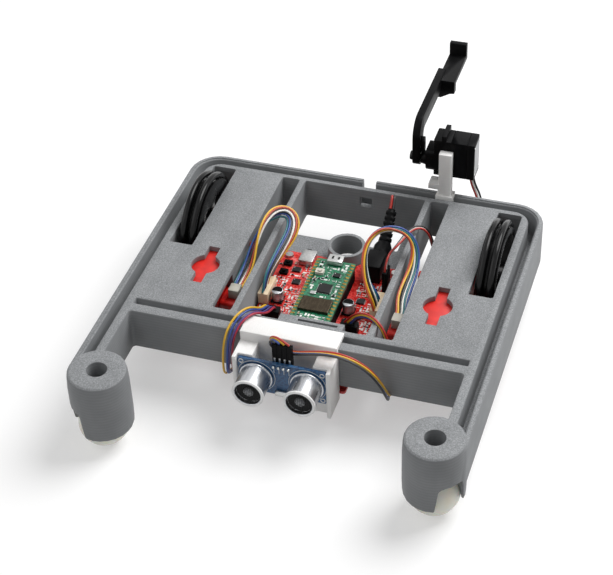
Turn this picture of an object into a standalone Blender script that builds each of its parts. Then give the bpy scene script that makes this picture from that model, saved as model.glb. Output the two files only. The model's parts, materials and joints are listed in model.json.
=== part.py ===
"""Line follower robot: a printed tray chassis on two driven wheels and two caster balls.

The robot stands on z = 0 and its front, with the sonar and the two caster legs, faces -Y.
Sizes are in millimetres and become metres when a mesh is made. They are measured from the
wheel axle line (y = 0), and the whole robot is then moved so that the origin is centred
under it.
"""
import math

import bmesh
import bpy
from mathutils import Matrix, Vector
from mathutils.geometry import interpolate_bezier

MM = 0.001

# Clearances between separate pieces
seat_gap = 0.3
ball_gap = 0.4

# Chassis
tray_height = 23.5
deck_thickness = 2.95
rim_rise = 0.5
rim_thickness = 3.3
groove_width = 4.5
rear_groove_width = 3.5
front_groove_width = 3.9
front_strip_width = 3.6
groove_depth = 14.5
groove_lip_round = 0.9
front_face = -91.0
front_lip = 6.1
front_groove_overrun = 0.2
corner_radius = 16.0
arm_width = 12.7
floor_thickness = 3.0
rim_round = 1.2

# Openings in the deck
wheel_slot_half_length = 34.3
bay_rear = 34.5
rear_skin = 3.1
floor_rear = 12.9
floor_opening_right = 24.0
keyhole_inset = 10.8
keyhole_y = -47.0
keyhole_radius = 7.5
keyhole_tab_half_width = 3.0
keyhole_tab_reach = 14.4
motor_wall_front = -47.5
tab_x = (-12.0, 21.0)
tab_reach = 4.9
tab_thickness = 6.0
tab_drop = 0.2
tab_slit_x = (-2.4, 17.9)
tab_slit_width = 1.5
rim_notch = (-3.2, 4.2)
rim_notch_depth = 6.0
skin_window = (-2.8, 3.9)
skin_window_depth = (5.1, 11.3)
servo_gap = (37.8, 47.8)
servo_gap_depth = 5.5

# Cup for a pen, standing on the bay floor at the turning centre
cup_radius = 10.0
cup_wall = 1.7
cup_height = 9.4

# Caster legs
leg_y = -137.0
leg_radius = 15.1
leg_rise = 1.7
leg_bottom = 11.6
leg_hole_radius = 5.2
ball_radius = 12.7
leg_arch_turn = 48.0
leg_arch_half_width = 7.6
leg_arch_top = 27.5
leg_arch_taper = 1.0
leg_arch_round = 3.0

# Wheels and tyres
wheel_radius = 30.0
wheel_half_width = 5.1
wheel_gap = 1.1
tyre_section = 2.0
tyre_offset = 2.6
wheel_rim_height = 3.4
wheel_rim_depth = 3.4
wheel_hub_radius = 6.5
wheel_web = 2.4
wheel_windows = 6
wheel_window_radius = 4.8
wheel_window_circle = 14.6
axle_radius = 2.7
axle_seat = 11.1

# Gear motors
motor_height = 22.5
motor_width = 22.2
motor_rear = 11.3
motor_front = -62.0
motor_screw_y = -20.5
motor_screw_spread = 8.75
motor_screw_radius = 1.5
motor_screw_head = 2.8
motor_screw_head_height = 1.6
cover_depth = 10.8
cover_front = -61.5
cover_rear = -48.0
cover_height = 14.0
cover_rise = 0.8
motor_socket_inset = 1.4
motor_socket_size = (5.6, 6.0, 5.4)
motor_socket_y = -54.5

# Controller board, battery and the parts on the board
board_half_width = 32.5
bay_gap = 1.1
board_front = -74.0
board_rear = -5.0
board_notch_gap = 1.0
board_thickness = 1.6
board_boss_height = 1.1
board_hole_inset = (3.5, 4.0)
board_boss_wall = 1.6
board_screw_radius = 1.2
board_screw_skin = 0.8
socket_strip_x = 8.89
socket_strip_width = 2.5
socket_strip_height = 7.5
processor_half_width = 10.5
processor_length = 51.0
processor_rear = -17.7
processor_thickness = 1.6
usb_size = (8.0, 5.8, 2.7)
usb_overhang = 1.5
board_plug_size = (5.4, 15.0, 6.7)
board_plug_places = {"left_motor_plug": (-30.0, -42.6), "right_motor_plug": (28.6, -39.8)}
sensor_socket_size = (9.0, 5.0, 6.0)
line_socket_place = (-22.5, -58.5)
sonar_socket_place = (19.0, -59.0)
capacitor_radius = 3.15
capacitor_height = 6.6
capacitor_places = {"left_capacitor": (-23.6, -44.8), "right_capacitor": (14.2, -44.4)}
jack_size = (9.0, 14.0, 10.7)
jack_place = (18.9, -12.0)
plug_radius = 4.9
plug_length = 11.0
relief_length = 20.5
relief_tilt = 39.0
relief_ribs = 7
relief_overlap = 1.5
servo_header_size = (2.54, 7.8, 2.5)
servo_header_place = (28.0, -23.2)
servo_plug_height = 11.5
switch_size = (7.7, 9.5, 3.2)
switch_place = (-18.4, -10.2)
switch_slot = (5.6, 2.2, 1.8)
switch_knob = (2.4, 3.6, 1.2)
switch_travel = 2.0
button_size = (4.4, 3.6, 1.5)
button_radius = 1.0
button_rise = 0.7
button_travel = 0.25
reset_button_place = (-27.6, -15.6)
user_button_place = (-27.6, -23.0)
boot_button_place = (-5.6, -29.0)

# Battery holder under the bay floor, four cells side by side
cell_radius = 7.1
cell_length = 50.0
cell_partition = 0.4
cell_count = 4
holder_side = 0.8
holder_rear = -9.0
holder_wall = 1.6
holder_roof = 0.9
cell_nub = 1.2
holder_height = 12.7

# Line sensor under the front wall
sensor_half_width = 26.0
sensor_inset = 6.5
sensor_depth = 12.0
sensor_boss_height = 4.1
sensor_boss_radius = 2.9
sensor_screw_depth = 6.0
sensor_screw_x = 15.0
sensor_eye_size = (5.0, 4.0, 3.2)
sensor_eye_pitch = 8.4
sensor_eye_count = 3
sensor_plug_size = (6.0, 5.0, 3.7)

# Sonar on its clipped bracket
sonar_x = -1.3
sonar_width = 45.0
sonar_height = 20.0
sonar_standoff = 13.8
sonar_drop = 23.9
can_radius = 8.0
can_pitch = 26.0
can_length = 13.7
can_recess = 2.6
bracket_thickness = 2.2
bracket_drop = 32.0
bracket_side = 2.0
bracket_arm_width = 9.5
bracket_arm_drop = 2.7
bracket_hook_depth = 9.0
bracket_lip = 1.6
header_width = 10.2
header_depth = 2.5
sonar_plug_rise = 16.7
sonar_plug_height = 13.7

# Servo and its lifting arm at the rear
servo_x = (35.4, 57.4)
servo_depth = 11.8
servo_inset = 1.1
servo_rise = 11.3
servo_height = 22.0
servo_shaft_rise = 6.0
servo_boss_length = 4.4
servo_boss_height = 14.5
servo_tab = (39.6, 42.1)
servo_tab_reach = 3.0
servo_shaft_radius = 2.4
bracket_post = (39.3, 46.3)
bracket_post_rise = 16.6
arm_bar = (23.3, 27.3)
arm_bar_depth = 8.0
arm_bar_rise = 29.2
arm_bar_below_shaft = 4.4
arm_reach = 101.0
paddle_x = (25.3, 34.8)
paddle_y = (90.0, 120.0)
paddle_thickness = 3.0
paddle_drop = 1.0
paddle_lip = 7.0
horn_radius = 3.4
horn_thickness = 1.6
horn_screw_hole = 1.3

# Wire bundles
motor_cable_diameter = 5.0
sensor_cable_diameter = 3.6
servo_cable_diameter = 3.0
battery_lead_diameter = 3.2

# Places across the robot, from the middle outwards
bay_wall = 3.05
cable_slot_width = 9.95
motor_wall = 3.0
wheel_slot_gap = 1.3
wheel_slot_width = 12.8
outer_strip = 4.2
bay_half_width = board_half_width + bay_gap
inner_slot_inner = bay_half_width + bay_wall
inner_slot_outer = inner_slot_inner + cable_slot_width
motor_inner = inner_slot_outer + motor_wall + seat_gap
motor_outer = motor_inner + motor_width
cover_outer = motor_inner - seat_gap
cover_inner = cover_outer - cover_depth
axle_inner = motor_outer - axle_seat
keyhole_x = motor_outer - keyhole_inset
wheel_slot_inner = motor_outer + wheel_slot_gap
wheel_slot_outer = wheel_slot_inner + wheel_slot_width
wheel_x = wheel_slot_inner + wheel_gap + wheel_half_width
chassis_half_width = wheel_slot_outer + outer_strip + groove_width + rim_thickness
leg_x = chassis_half_width - leg_radius
front_groove_half_length = chassis_half_width - arm_width + front_groove_overrun
cell_pitch = 2 * (cell_radius + seat_gap) + cell_partition
holder_half_width = cell_pitch * (cell_count - 1) / 2 + cell_radius + seat_gap + holder_side

# Heights, from the wheel axles up through the motors to the deck and down again
deck_top = wheel_radius + motor_height / 2 + seat_gap + deck_thickness
chassis_bottom = deck_top - tray_height
floor_top = chassis_bottom + floor_thickness
groove_floor = deck_top - groove_depth
skin_window_height = (deck_top - skin_window_depth[1], deck_top - skin_window_depth[0])
cup_top = floor_top + cup_height
leg_top = deck_top + leg_rise
wheel_rim_radius = wheel_radius - wheel_rim_height
holder_skirt = chassis_bottom - seat_gap - holder_height
sonar_bottom = deck_top - sonar_drop
sonar_plug_bottom = sonar_bottom + sonar_plug_rise
bracket_bottom = deck_top - bracket_drop
bracket_arm_top = deck_top - bracket_arm_drop
servo_bottom = deck_top + servo_rise
bracket_post_top = servo_bottom + bracket_post_rise
arm_bar_top = servo_bottom + arm_bar_rise
paddle_top = arm_bar_top - paddle_drop

# Places along the robot
rear_face = bay_rear + rear_skin + rear_groove_width + rim_thickness
bay_front = front_face + front_lip + front_groove_width + front_strip_width
sensor_y = front_face + sensor_inset
sonar_front = front_face - sonar_standoff
servo_front = rear_face - servo_inset
robot_centre_y = (leg_y - leg_radius + paddle_y[1]) / 2

# How far a cutter runs past the faces that it opens
overrun = 4.0


# ---------------------------------------------------------------- tools

def clear_scene():
    for thing in list(bpy.data.objects):
        bpy.data.objects.remove(thing, do_unlink=True)


def make_material(name, hex_colour, roughness, metallic=0.0):
    """A plain material from an sRGB hex colour."""
    channels = [int(hex_colour[i:i + 2], 16) / 255 for i in (1, 3, 5)]
    linear = [c / 12.92 if c <= 0.04045 else ((c + 0.055) / 1.055) ** 2.4 for c in channels]
    material = bpy.data.materials.new(name)
    material.use_nodes = True
    shader = material.node_tree.nodes["Principled BSDF"]
    shader.inputs["Base Color"].default_value = (*linear, 1.0)
    shader.inputs["Roughness"].default_value = roughness
    shader.inputs["Metallic"].default_value = metallic
    return material


def make_empty(name, place, parent=None):
    empty = bpy.data.objects.new(name, None)
    empty.location = Vector(place) * MM
    empty.parent = parent
    bpy.context.scene.collection.objects.link(empty)
    return empty


def add_object(name, bm, material=None, holder=None, smooth=True):
    """Makes an object from a mesh in millimetres and hangs it on its holder."""
    bmesh.ops.scale(bm, vec=(MM, MM, MM), verts=bm.verts)
    bmesh.ops.remove_doubles(bm, verts=bm.verts, dist=0.000001)
    bmesh.ops.recalc_face_normals(bm, faces=bm.faces)
    mesh = bpy.data.meshes.new(name)
    bm.to_mesh(mesh)
    bm.free()
    if smooth:
        mesh.shade_smooth()
        mesh.set_sharp_from_angle(angle=math.radians(35))
    piece = bpy.data.objects.new(name, mesh)
    bpy.context.scene.collection.objects.link(piece)
    if material:
        mesh.materials.append(material)
    hang(piece, holder or robot)
    return piece


def hang(piece, holder):
    """Parents a piece to an empty, keeping the piece's own millimetre frame."""
    piece.parent = holder
    if holder is not robot:
        piece.matrix_parent_inverse = Matrix.Translation(-holder.location)


def to_space(u, v, w, plane):
    """A point from a drawing plane: u and v in the plane, w along its normal."""
    if plane == "XY":
        return Vector((u, v, w))
    if plane == "YZ":
        return Vector((w, u, v))
    return Vector((u, w, v))


def rounded(corners, steps=3):
    """An outline from (u, v, radius) corners, each rounded by an arc."""
    outline = []
    for index, (u, v, radius) in enumerate(corners):
        corner = Vector((u, v))
        if radius <= 0:
            outline.append((u, v))
            continue
        before = (Vector(corners[index - 1][:2]) - corner).normalized()
        after = (Vector(corners[(index + 1) % len(corners)][:2]) - corner).normalized()
        half = before.angle(after) / 2
        centre = corner + (before + after).normalized() * (radius / math.sin(half))
        start = corner + before * (radius / math.tan(half)) - centre
        end = corner + after * (radius / math.tan(half)) - centre
        first = math.atan2(start.y, start.x)
        sweep = math.atan2(end.y, end.x) - first
        sweep = (sweep + math.pi) % (2 * math.pi) - math.pi
        for step in range(steps + 1):
            angle = first + sweep * step / steps
            outline.append((centre.x + radius * math.cos(angle), centre.y + radius * math.sin(angle)))
    return outline


def rectangle(low, high, radius=0.0):
    return rounded([(low[0], low[1], radius), (high[0], low[1], radius),
                    (high[0], high[1], radius), (low[0], high[1], radius)], steps=2)


def circle(centre, radius, steps=24):
    turns = [2 * math.pi * step / steps for step in range(steps)]
    return [(centre[0] + radius * math.cos(t), centre[1] + radius * math.sin(t)) for t in turns]


def prism(outline, low, high, plane="XY"):
    """An outline drawn out from low to high along its plane's normal."""
    bm = bmesh.new()
    face = bm.faces.new([bm.verts.new(to_space(u, v, low, plane)) for u, v in outline])
    drawn = bmesh.ops.extrude_face_region(bm, geom=[face])["geom"]
    far = [part for part in drawn if isinstance(part, bmesh.types.BMVert)]
    bmesh.ops.translate(bm, vec=to_space(0, 0, high - low, plane), verts=far)
    return bm


def loft(rings, plane="XY"):
    """Outlines with the same number of points, joined at their heights and closed at the ends."""
    bm = bmesh.new()
    rows = [[bm.verts.new(to_space(u, v, height, plane)) for u, v in outline]
            for outline, height in rings]
    for lower, upper in zip(rows, rows[1:]):
        for index in range(len(lower)):
            after = (index + 1) % len(lower)
            bm.faces.new((lower[index], lower[after], upper[after], upper[index]))
    bm.faces.new(rows[0][::-1])
    bm.faces.new(rows[-1])
    return bm


def block(low, high, radius=0.0):
    """A box between two corners, its upright edges rounded."""
    return prism(rectangle(low[:2], high[:2], radius), low[2], high[2])


def centred_block(size, place, bottom, radius=0.4):
    low = (place[0] - size[0] / 2, place[1] - size[1] / 2, bottom)
    high = (place[0] + size[0] / 2, place[1] + size[1] / 2, bottom + size[2])
    return block(low, high, radius)


def turned(profile, centre, axis="Z", steps=24, tilt=None):
    """A closed (radius, along) profile spun round an axis through a point."""
    bm = bmesh.new()
    verts = [bm.verts.new((radius, 0, along)) for radius, along in profile]
    pairs = list(zip(verts, verts[1:]))
    if profile[0][0] > 0 or profile[-1][0] > 0:
        pairs.append((verts[-1], verts[0]))
    edges = [bm.edges.new(pair) for pair in pairs]
    bmesh.ops.spin(bm, geom=verts + edges, axis=(0, 0, 1), cent=(0, 0, 0),
                   angle=2 * math.pi, steps=steps, use_merge=True)
    bmesh.ops.remove_doubles(bm, verts=bm.verts, dist=0.0001)
    turn = {"X": Matrix.Rotation(math.pi / 2, 4, "Y"),
            "Y": Matrix.Rotation(-math.pi / 2, 4, "X"),
            "Z": Matrix.Identity(4)}[axis]
    if tilt is not None:
        turn = Matrix.Rotation(tilt, 4, "X") @ turn
    bmesh.ops.transform(bm, matrix=Matrix.Translation(Vector(centre)) @ turn, verts=bm.verts)
    return bm


def rod(radius, low, high, centre, axis="Z", steps=16):
    """A plain cylinder. The centre's own value along the axis is 0."""
    return turned([(0, low), (radius, low), (radius, high), (0, high)], centre, axis, steps)


def add_boolean(piece, bm, operation):
    tool = add_object(piece.name + "_" + operation.lower(), bm, smooth=False)
    tool.hide_render = True
    tool.display_type = "WIRE"
    modifier = piece.modifiers.new(operation.title(), "BOOLEAN")
    modifier.object = tool
    modifier.operation = operation
    modifier.solver = "EXACT"
    return tool


def cut(piece, bm):
    return add_boolean(piece, bm, "DIFFERENCE")


def fuse(piece, bm):
    return add_boolean(piece, bm, "UNION")


def soften(piece, width, steps=2, angle=40):
    """Rounds a piece's sharp edges."""
    modifier = piece.modifiers.new("Bevel", "BEVEL")
    modifier.width = width * MM
    modifier.segments = steps
    modifier.limit_method = "ANGLE"
    modifier.angle_limit = math.radians(angle)


def smooth_route(points, spacing):
    """Evenly spaced points on a smooth curve through a route, with its first and last leg straight."""
    route = [Vector(point) for point in points]
    ways = [(after - before).normalized() for before, after in zip(route, route[2:])]
    fine = []
    for start, end, leaving, arriving in zip(route[1:], route[2:-1], ways, ways[1:]):
        pull = (end - start).length / 3
        fine += interpolate_bezier(start, start + leaving * pull, end - arriving * pull, end, 9)[:-1]
    fine.append(route[-2])
    legs = [(after - before).length for before, after in zip(fine, fine[1:])]
    count = round(sum(legs) / spacing)
    places = []
    run = 0.0
    for here, leg, following in zip(fine, legs, fine[1:]):
        while len(places) < count and len(places) * sum(legs) / count <= run + leg:
            places.append(here.lerp(following, (len(places) * sum(legs) / count - run) / leg))
        run += leg
    return [route[0]] + places + route[-2:]


def add_cable(name, points, diameter, material):
    """A bundle of wires: a round tube along a smooth route, closed at both ends."""
    curve = bpy.data.curves.new(name, "CURVE")
    curve.dimensions = "3D"
    curve.bevel_depth = diameter / 2 * MM
    curve.bevel_resolution = 2
    curve.use_fill_caps = True
    places = smooth_route(points, 2 * diameter)
    spline = curve.splines.new("POLY")
    spline.points.add(len(places) - 1)
    for point, place in zip(spline.points, places):
        point.co = (*(place * MM), 1.0)
    curve.materials.append(material)
    cable = bpy.data.objects.new(name, curve)
    bpy.context.scene.collection.objects.link(cable)
    hang(cable, robot)
    return cable


# ---------------------------------------------------------------- chassis

def tray_outline(inset):
    """Outside of the tray: the body with an arm running forward on each side."""
    side = chassis_half_width - inset
    rear = rear_face - inset
    arm_inner = chassis_half_width - arm_width + inset
    front = front_face + inset
    arm_end = leg_y - leg_radius / 2
    end_round = leg_radius / 2 - inset
    rear_round = corner_radius - inset
    return rounded([
        (-side, rear, rear_round), (side, rear, rear_round),
        (side, arm_end, end_round), (arm_inner, arm_end, 0),
        (arm_inner, front, 2), (-arm_inner, front, 2),
        (-arm_inner, arm_end, 0), (-side, arm_end, end_round)], steps=6)


def groove_outline(grow):
    """The accessory groove that follows the sides and the rear, inside the rim."""
    outer = chassis_half_width - rim_thickness + grow
    inner = chassis_half_width - rim_thickness - groove_width - grow
    rear_outer = rear_face - rim_thickness + grow
    rear_inner = rear_face - rim_thickness - rear_groove_width - grow
    round_outer = corner_radius - rim_thickness + grow
    round_inner = corner_radius - rim_thickness - rear_groove_width - grow
    return rounded([
        (-outer, leg_y, 0), (-outer, rear_outer, round_outer), (outer, rear_outer, round_outer),
        (outer, leg_y, 0), (inner, leg_y, 0), (inner, rear_inner, round_inner),
        (-inner, rear_inner, round_inner), (-inner, leg_y, 0)], steps=6)


def groove_tool(outline_at):
    """A groove with straight walls and rounded lips at the top."""
    lip_bottom = deck_top - groove_lip_round
    return loft([(outline_at(0.0), groove_floor), (outline_at(0.0), lip_bottom),
                 (outline_at(groove_lip_round * 0.3), deck_top - groove_lip_round * 0.3),
                 (outline_at(groove_lip_round), deck_top),
                 (outline_at(groove_lip_round), deck_top + overrun)])


def front_groove_outline(grow):
    rear = front_face + front_lip + front_groove_width
    return rectangle((-front_groove_half_length - grow, front_face + front_lip - grow),
                     (front_groove_half_length + grow, rear + grow), 0.6)


def side_openings(side):
    """What is cut from one side of the tray, from above and from below."""
    below = chassis_bottom - 1
    under_deck = deck_top - deck_thickness
    above = deck_top + overrun
    motor_bay_inner = inner_slot_outer + motor_wall

    def span(x_low, x_high, y_low, y_high, z_low, z_high, radius=0.0):
        xs = sorted((side * x_low, side * x_high))
        return block((xs[0], y_low, z_low), (xs[1], y_high, z_high), radius)

    tabs = span(keyhole_x - keyhole_tab_half_width, keyhole_x + keyhole_tab_half_width,
                keyhole_y - keyhole_tab_reach, keyhole_y + keyhole_tab_reach, under_deck - 1, above)
    wall = sorted((side * (inner_slot_outer - 1), side * (motor_bay_inner + 1)))
    screw_holes = [rod(motor_screw_radius + seat_gap, *wall, motor_screw_at(up), "X", 8) for up in (-1, 1)]
    return [
        span(motor_bay_inner, wheel_slot_outer, bay_front, bay_rear, below, under_deck, 2.0),
        span(inner_slot_outer - 1, motor_bay_inner + 1, bay_front, motor_wall_front,
             below, under_deck),
        span(inner_slot_inner, inner_slot_outer, bay_front, bay_rear, below, above, 1.0),
        span(wheel_slot_inner, wheel_slot_outer, -wheel_slot_half_length, wheel_slot_half_length,
             under_deck - 1, above, 1.0),
        tabs,
        prism(circle((side * keyhole_x, keyhole_y), keyhole_radius), under_deck - 1, above),
        *screw_holes,
    ]


def motor_screw_at(up):
    """The lower (-1) or upper (1) screw that holds a gear motor to its wall."""
    return (0, motor_screw_y, wheel_radius + up * motor_screw_spread)


def leg_solid(side):
    """A caster leg: a round post with a soft top edge and bottom edge."""
    profile = [(0, leg_bottom), (leg_radius - 1.3, leg_bottom), (leg_radius - 0.5, leg_bottom + 0.5),
               (leg_radius - 0.2, leg_bottom + 1.5), (leg_radius, leg_bottom + 8),
               (leg_radius - 0.1, leg_top - 8), (leg_radius - 0.5, leg_top - 1.4),
               (leg_radius - 0.8, leg_top - 0.6), (leg_radius - 1.7, leg_top), (0, leg_top)]
    return turned(profile, (side * leg_x, leg_y, 0), steps=24)


def leg_socket(side):
    """The ball socket with the hole above it."""
    radius = ball_radius + ball_gap
    start = math.asin(leg_hole_radius / radius)
    profile = [(0, leg_top + overrun), (leg_hole_radius, leg_top + overrun)]
    for step in range(6):
        angle = start + (math.pi / 2 - start) * step / 5
        profile.append((radius * math.sin(angle), ball_radius + radius * math.cos(angle)))
    profile += [(radius, leg_bottom - 2), (0, leg_bottom - 2)]
    return turned(profile, (side * leg_x, leg_y, 0), steps=20)


def leg_arch(side):
    """The arched window on the outboard front of a leg, which shows the ball."""
    foot = leg_arch_half_width + leg_arch_taper
    crown = leg_arch_half_width - leg_arch_taper
    outline = rounded([(-foot, leg_bottom - 2, 0), (foot, leg_bottom - 2, 0),
                       (crown, leg_arch_top, leg_arch_round), (-crown, leg_arch_top, leg_arch_round)])
    bm = prism(outline, -leg_radius - overrun, -leg_radius / 2, "XZ")
    turn = Matrix.Rotation(math.radians(side * leg_arch_turn), 4, "Z")
    bmesh.ops.transform(bm, matrix=Matrix.Translation((side * leg_x, leg_y, 0)) @ turn, verts=bm.verts)
    return bm


def board_holes():
    """The four screw holes that the controller board and the bay floor share."""
    hole_x = board_half_width - board_hole_inset[0]
    hole_ys = (board_front + board_hole_inset[1], board_rear - board_hole_inset[1])
    return [(x, y) for x in (-hole_x, hole_x) for y in hole_ys]


def make_chassis(grey):
    rim_top = deck_top + rim_rise
    tray = loft([(tray_outline(0), chassis_bottom), (tray_outline(0), rim_top - rim_round),
                 (tray_outline(rim_round * 0.3), rim_top - rim_round * 0.3),
                 (tray_outline(rim_round), rim_top)])
    chassis = add_object("chassis", tray, grey)
    inside_rim = chassis_half_width - rim_thickness
    cut(chassis, block((-inside_rim, leg_y - 2 * leg_radius, deck_top),
                       (inside_rim, rear_face - rim_thickness, deck_top + 6), corner_radius - rim_thickness))
    cut(chassis, groove_tool(groove_outline))
    cut(chassis, groove_tool(front_groove_outline))
    for side in (-1, 1):
        for opening in side_openings(side):
            cut(chassis, opening)
        fuse(chassis, leg_solid(side))
        cut(chassis, leg_socket(side))
        cut(chassis, leg_arch(side))
    above = deck_top + overrun
    cut(chassis, block((-bay_half_width, bay_front, floor_top), (bay_half_width, bay_rear, above), 1.0))
    cut(chassis, block((-bay_half_width, floor_rear, chassis_bottom - 1),
                       (floor_opening_right, bay_rear, floor_top + 1), 1.0))
    tab_rear = bay_front + tab_reach
    fuse(chassis, block((tab_x[0], bay_front - 1, deck_top - tab_thickness),
                        (tab_x[1], tab_rear, deck_top - tab_drop)))
    slit_front = bay_front + (tab_reach - tab_slit_width) / 2
    cut(chassis, block((tab_slit_x[0], slit_front, deck_top - tab_thickness - 1),
                       (tab_slit_x[1], slit_front + tab_slit_width, above)))
    fuse(chassis, rod(cup_radius, floor_top - 1, cup_top, (0, 0, 0), steps=24))
    cut(chassis, rod(cup_radius - cup_wall, chassis_bottom - 1, cup_top + 1, (0, 0, 0), steps=24))
    rim_inner = rear_face - rim_thickness - 0.4
    cut(chassis, block((rim_notch[0], rim_inner, deck_top - rim_notch_depth),
                       (rim_notch[1], rear_face + 1, above)))
    cut(chassis, block((servo_gap[0], rim_inner, deck_top - servo_gap_depth),
                       (servo_gap[1], rear_face + 1, above)))
    cut(chassis, block((skin_window[0], bay_rear - 1, skin_window_height[0]),
                       (skin_window[1], rear_face - rim_thickness - rear_groove_width / 2,
                        skin_window_height[1])))
    for x, y in board_holes():
        fuse(chassis, rod(board_screw_radius + board_boss_wall, floor_top - 1,
                          floor_top + board_boss_height, (x, y, 0), steps=10))
        cut(chassis, rod(board_screw_radius + seat_gap, chassis_bottom + board_screw_skin,
                         floor_top + board_boss_height + 1, (x, y, 0), steps=8))
    boss_bottom = chassis_bottom - sensor_boss_height
    for x in (-sensor_screw_x, sensor_screw_x):
        fuse(chassis, rod(sensor_boss_radius, boss_bottom, chassis_bottom + 1,
                          (x, sensor_y, 0), steps=12))
        cut(chassis, rod(board_screw_radius + seat_gap, boss_bottom - 1,
                         chassis_bottom + sensor_screw_depth, (x, sensor_y, 0), steps=10))
    return chassis


# ---------------------------------------------------------------- drive and casters

def cover_heights():
    """The bottom and the top of an encoder cover."""
    low = wheel_radius - motor_height / 2 + cover_rise
    return low, low + cover_height


def motor_socket_x():
    """How far from the middle a motor's cable socket stands on its encoder cover."""
    return cover_inner + motor_socket_inset + motor_socket_size[0] / 2


def make_motor(side, name, red, white):
    """One gear motor with the two screws that hold it, its encoder cover and its socket."""
    z_low = wheel_radius - motor_height / 2
    z_high = wheel_radius + motor_height / 2
    case_outline = rounded([(motor_rear, z_low, 5), (motor_rear, z_high, 5),
                            (motor_front, z_high, 3), (motor_front, z_low, 3)])
    xs = sorted((side * motor_inner, side * motor_outer))
    case = add_object(name + "_gearmotor", prism(case_outline, *xs, "YZ"), red)
    bore = sorted((side * (axle_inner - seat_gap), side * (motor_outer + 1)))
    cut(case, rod(axle_radius + seat_gap, *bore, (0, 0, wheel_radius), "X", 20))
    head_face = inner_slot_outer - seat_gap
    head_end = head_face - motor_screw_head_height
    profile = [(0, motor_inner + 1), (motor_screw_radius, motor_inner + 1),
               (motor_screw_radius, head_face), (motor_screw_head, head_face),
               (motor_screw_head, head_end), (0, head_end)]
    profile = [(radius, side * along) for radius, along in profile]
    for up in (-1, 1):
        fuse(case, turned(profile, motor_screw_at(up), "X", 8))

    cover_low, cover_top = cover_heights()
    cover_outline = rounded([(cover_rear, cover_low, 2), (cover_rear, cover_top, 2),
                             (cover_front, cover_top, 2), (cover_front, cover_low, 2)])
    xs = sorted((side * cover_inner, side * cover_outer))
    cover = add_object(name + "_encoder_cover", prism(cover_outline, *xs, "YZ"), red)
    soften(cover, 0.6)

    socket_place = (side * motor_socket_x(), motor_socket_y)
    add_object(name + "_motor_socket",
               centred_block(motor_socket_size, socket_place, cover_top + seat_gap), white)


def make_wheel(side, name, holder, black, rubber, steel):
    """One driven wheel: a windowed wheel, two ring tyres and the motor's output axle."""
    web_side = -side
    groove_floor_radius = wheel_radius - 2 * tyre_section - seat_gap
    groove_half = tyre_section
    half = wheel_half_width
    web_low = half - wheel_web
    inner_rim = wheel_rim_radius - wheel_rim_depth
    bore = axle_radius + seat_gap
    profile = [
        (bore, -half), (wheel_hub_radius, -half), (wheel_hub_radius, web_low), (inner_rim, web_low),
        (inner_rim, -half), (wheel_rim_radius, -half),
        (wheel_rim_radius, -tyre_offset - groove_half), (groove_floor_radius, -tyre_offset - 1.3),
        (groove_floor_radius, 1.3 - tyre_offset), (wheel_rim_radius, groove_half - tyre_offset),
        (wheel_rim_radius, tyre_offset - groove_half), (groove_floor_radius, tyre_offset - 1.3),
        (groove_floor_radius, tyre_offset + 1.3), (wheel_rim_radius, tyre_offset + groove_half),
        (wheel_rim_radius, half), (bore, half)]
    centre = (side * wheel_x, 0, wheel_radius)
    profile = [(radius, web_side * along) for radius, along in profile]
    wheel = add_object(name + "_wheel", turned(profile, centre, "X"), black, holder)
    for index in range(wheel_windows):
        angle = 2 * math.pi * index / wheel_windows
        at = (centre[0], wheel_window_circle * math.cos(angle),
              wheel_radius + wheel_window_circle * math.sin(angle))
        cut(wheel, rod(wheel_window_radius, -half - 1, half + 1, at, "X", 8))

    ring = circle((wheel_radius - tyre_section, 0), tyre_section, 6)
    for place, offset in (("inner", -side * tyre_offset), ("outer", side * tyre_offset)):
        add_object(name + "_" + place + "_tyre",
                   turned(ring, (centre[0] + offset, 0, wheel_radius), "X"), rubber, holder)
    ends = sorted((side * axle_inner, side * (wheel_x + half - 1.5)))
    add_object(name + "_axle", rod(axle_radius, *ends, (0, 0, wheel_radius), "X", 20), steel, holder)


def make_caster_ball(side, name, holder, cream):
    """A ball, spun about the axle line that its joint turns on."""
    angles = [math.pi * step / 10 for step in range(1, 10)]
    profile = [(ball_radius * math.sin(angle), -ball_radius * math.cos(angle)) for angle in angles]
    profile = [(0, -ball_radius), *profile, (0, ball_radius)]
    add_object(name + "_caster_ball", turned(profile, (side * leg_x, leg_y, ball_radius), "X", 20),
               cream, holder)


# ---------------------------------------------------------------- electronics in the bay

def button_recess(place, bottom):
    """The hole that a button's plunger runs in."""
    return rod(button_radius + seat_gap, bottom, bottom + button_size[2] + 1, (*place, 0), steps=16)


def make_button(name, place, base_bottom, holder, material):
    """A plunger standing in its base, with room below it for its travel."""
    low = base_bottom + seat_gap + button_travel
    high = base_bottom + button_size[2] + button_rise
    add_object(name, rod(button_radius, low, high, (*place, 0), steps=16), material, holder)


def screw(x, y, seat, way, tip):
    """A pan head screw, its head pressed on a seat and pointing up (1) or down (-1) from there."""
    profile = [(0, tip), (board_screw_radius, tip), (board_screw_radius, seat - way * 0.2),
               (2.3, seat - way * 0.2), (2.1, seat + way * 1.4), (0, seat + way * 1.4)]
    return turned(profile, (x, y, 0), steps=8)


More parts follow.
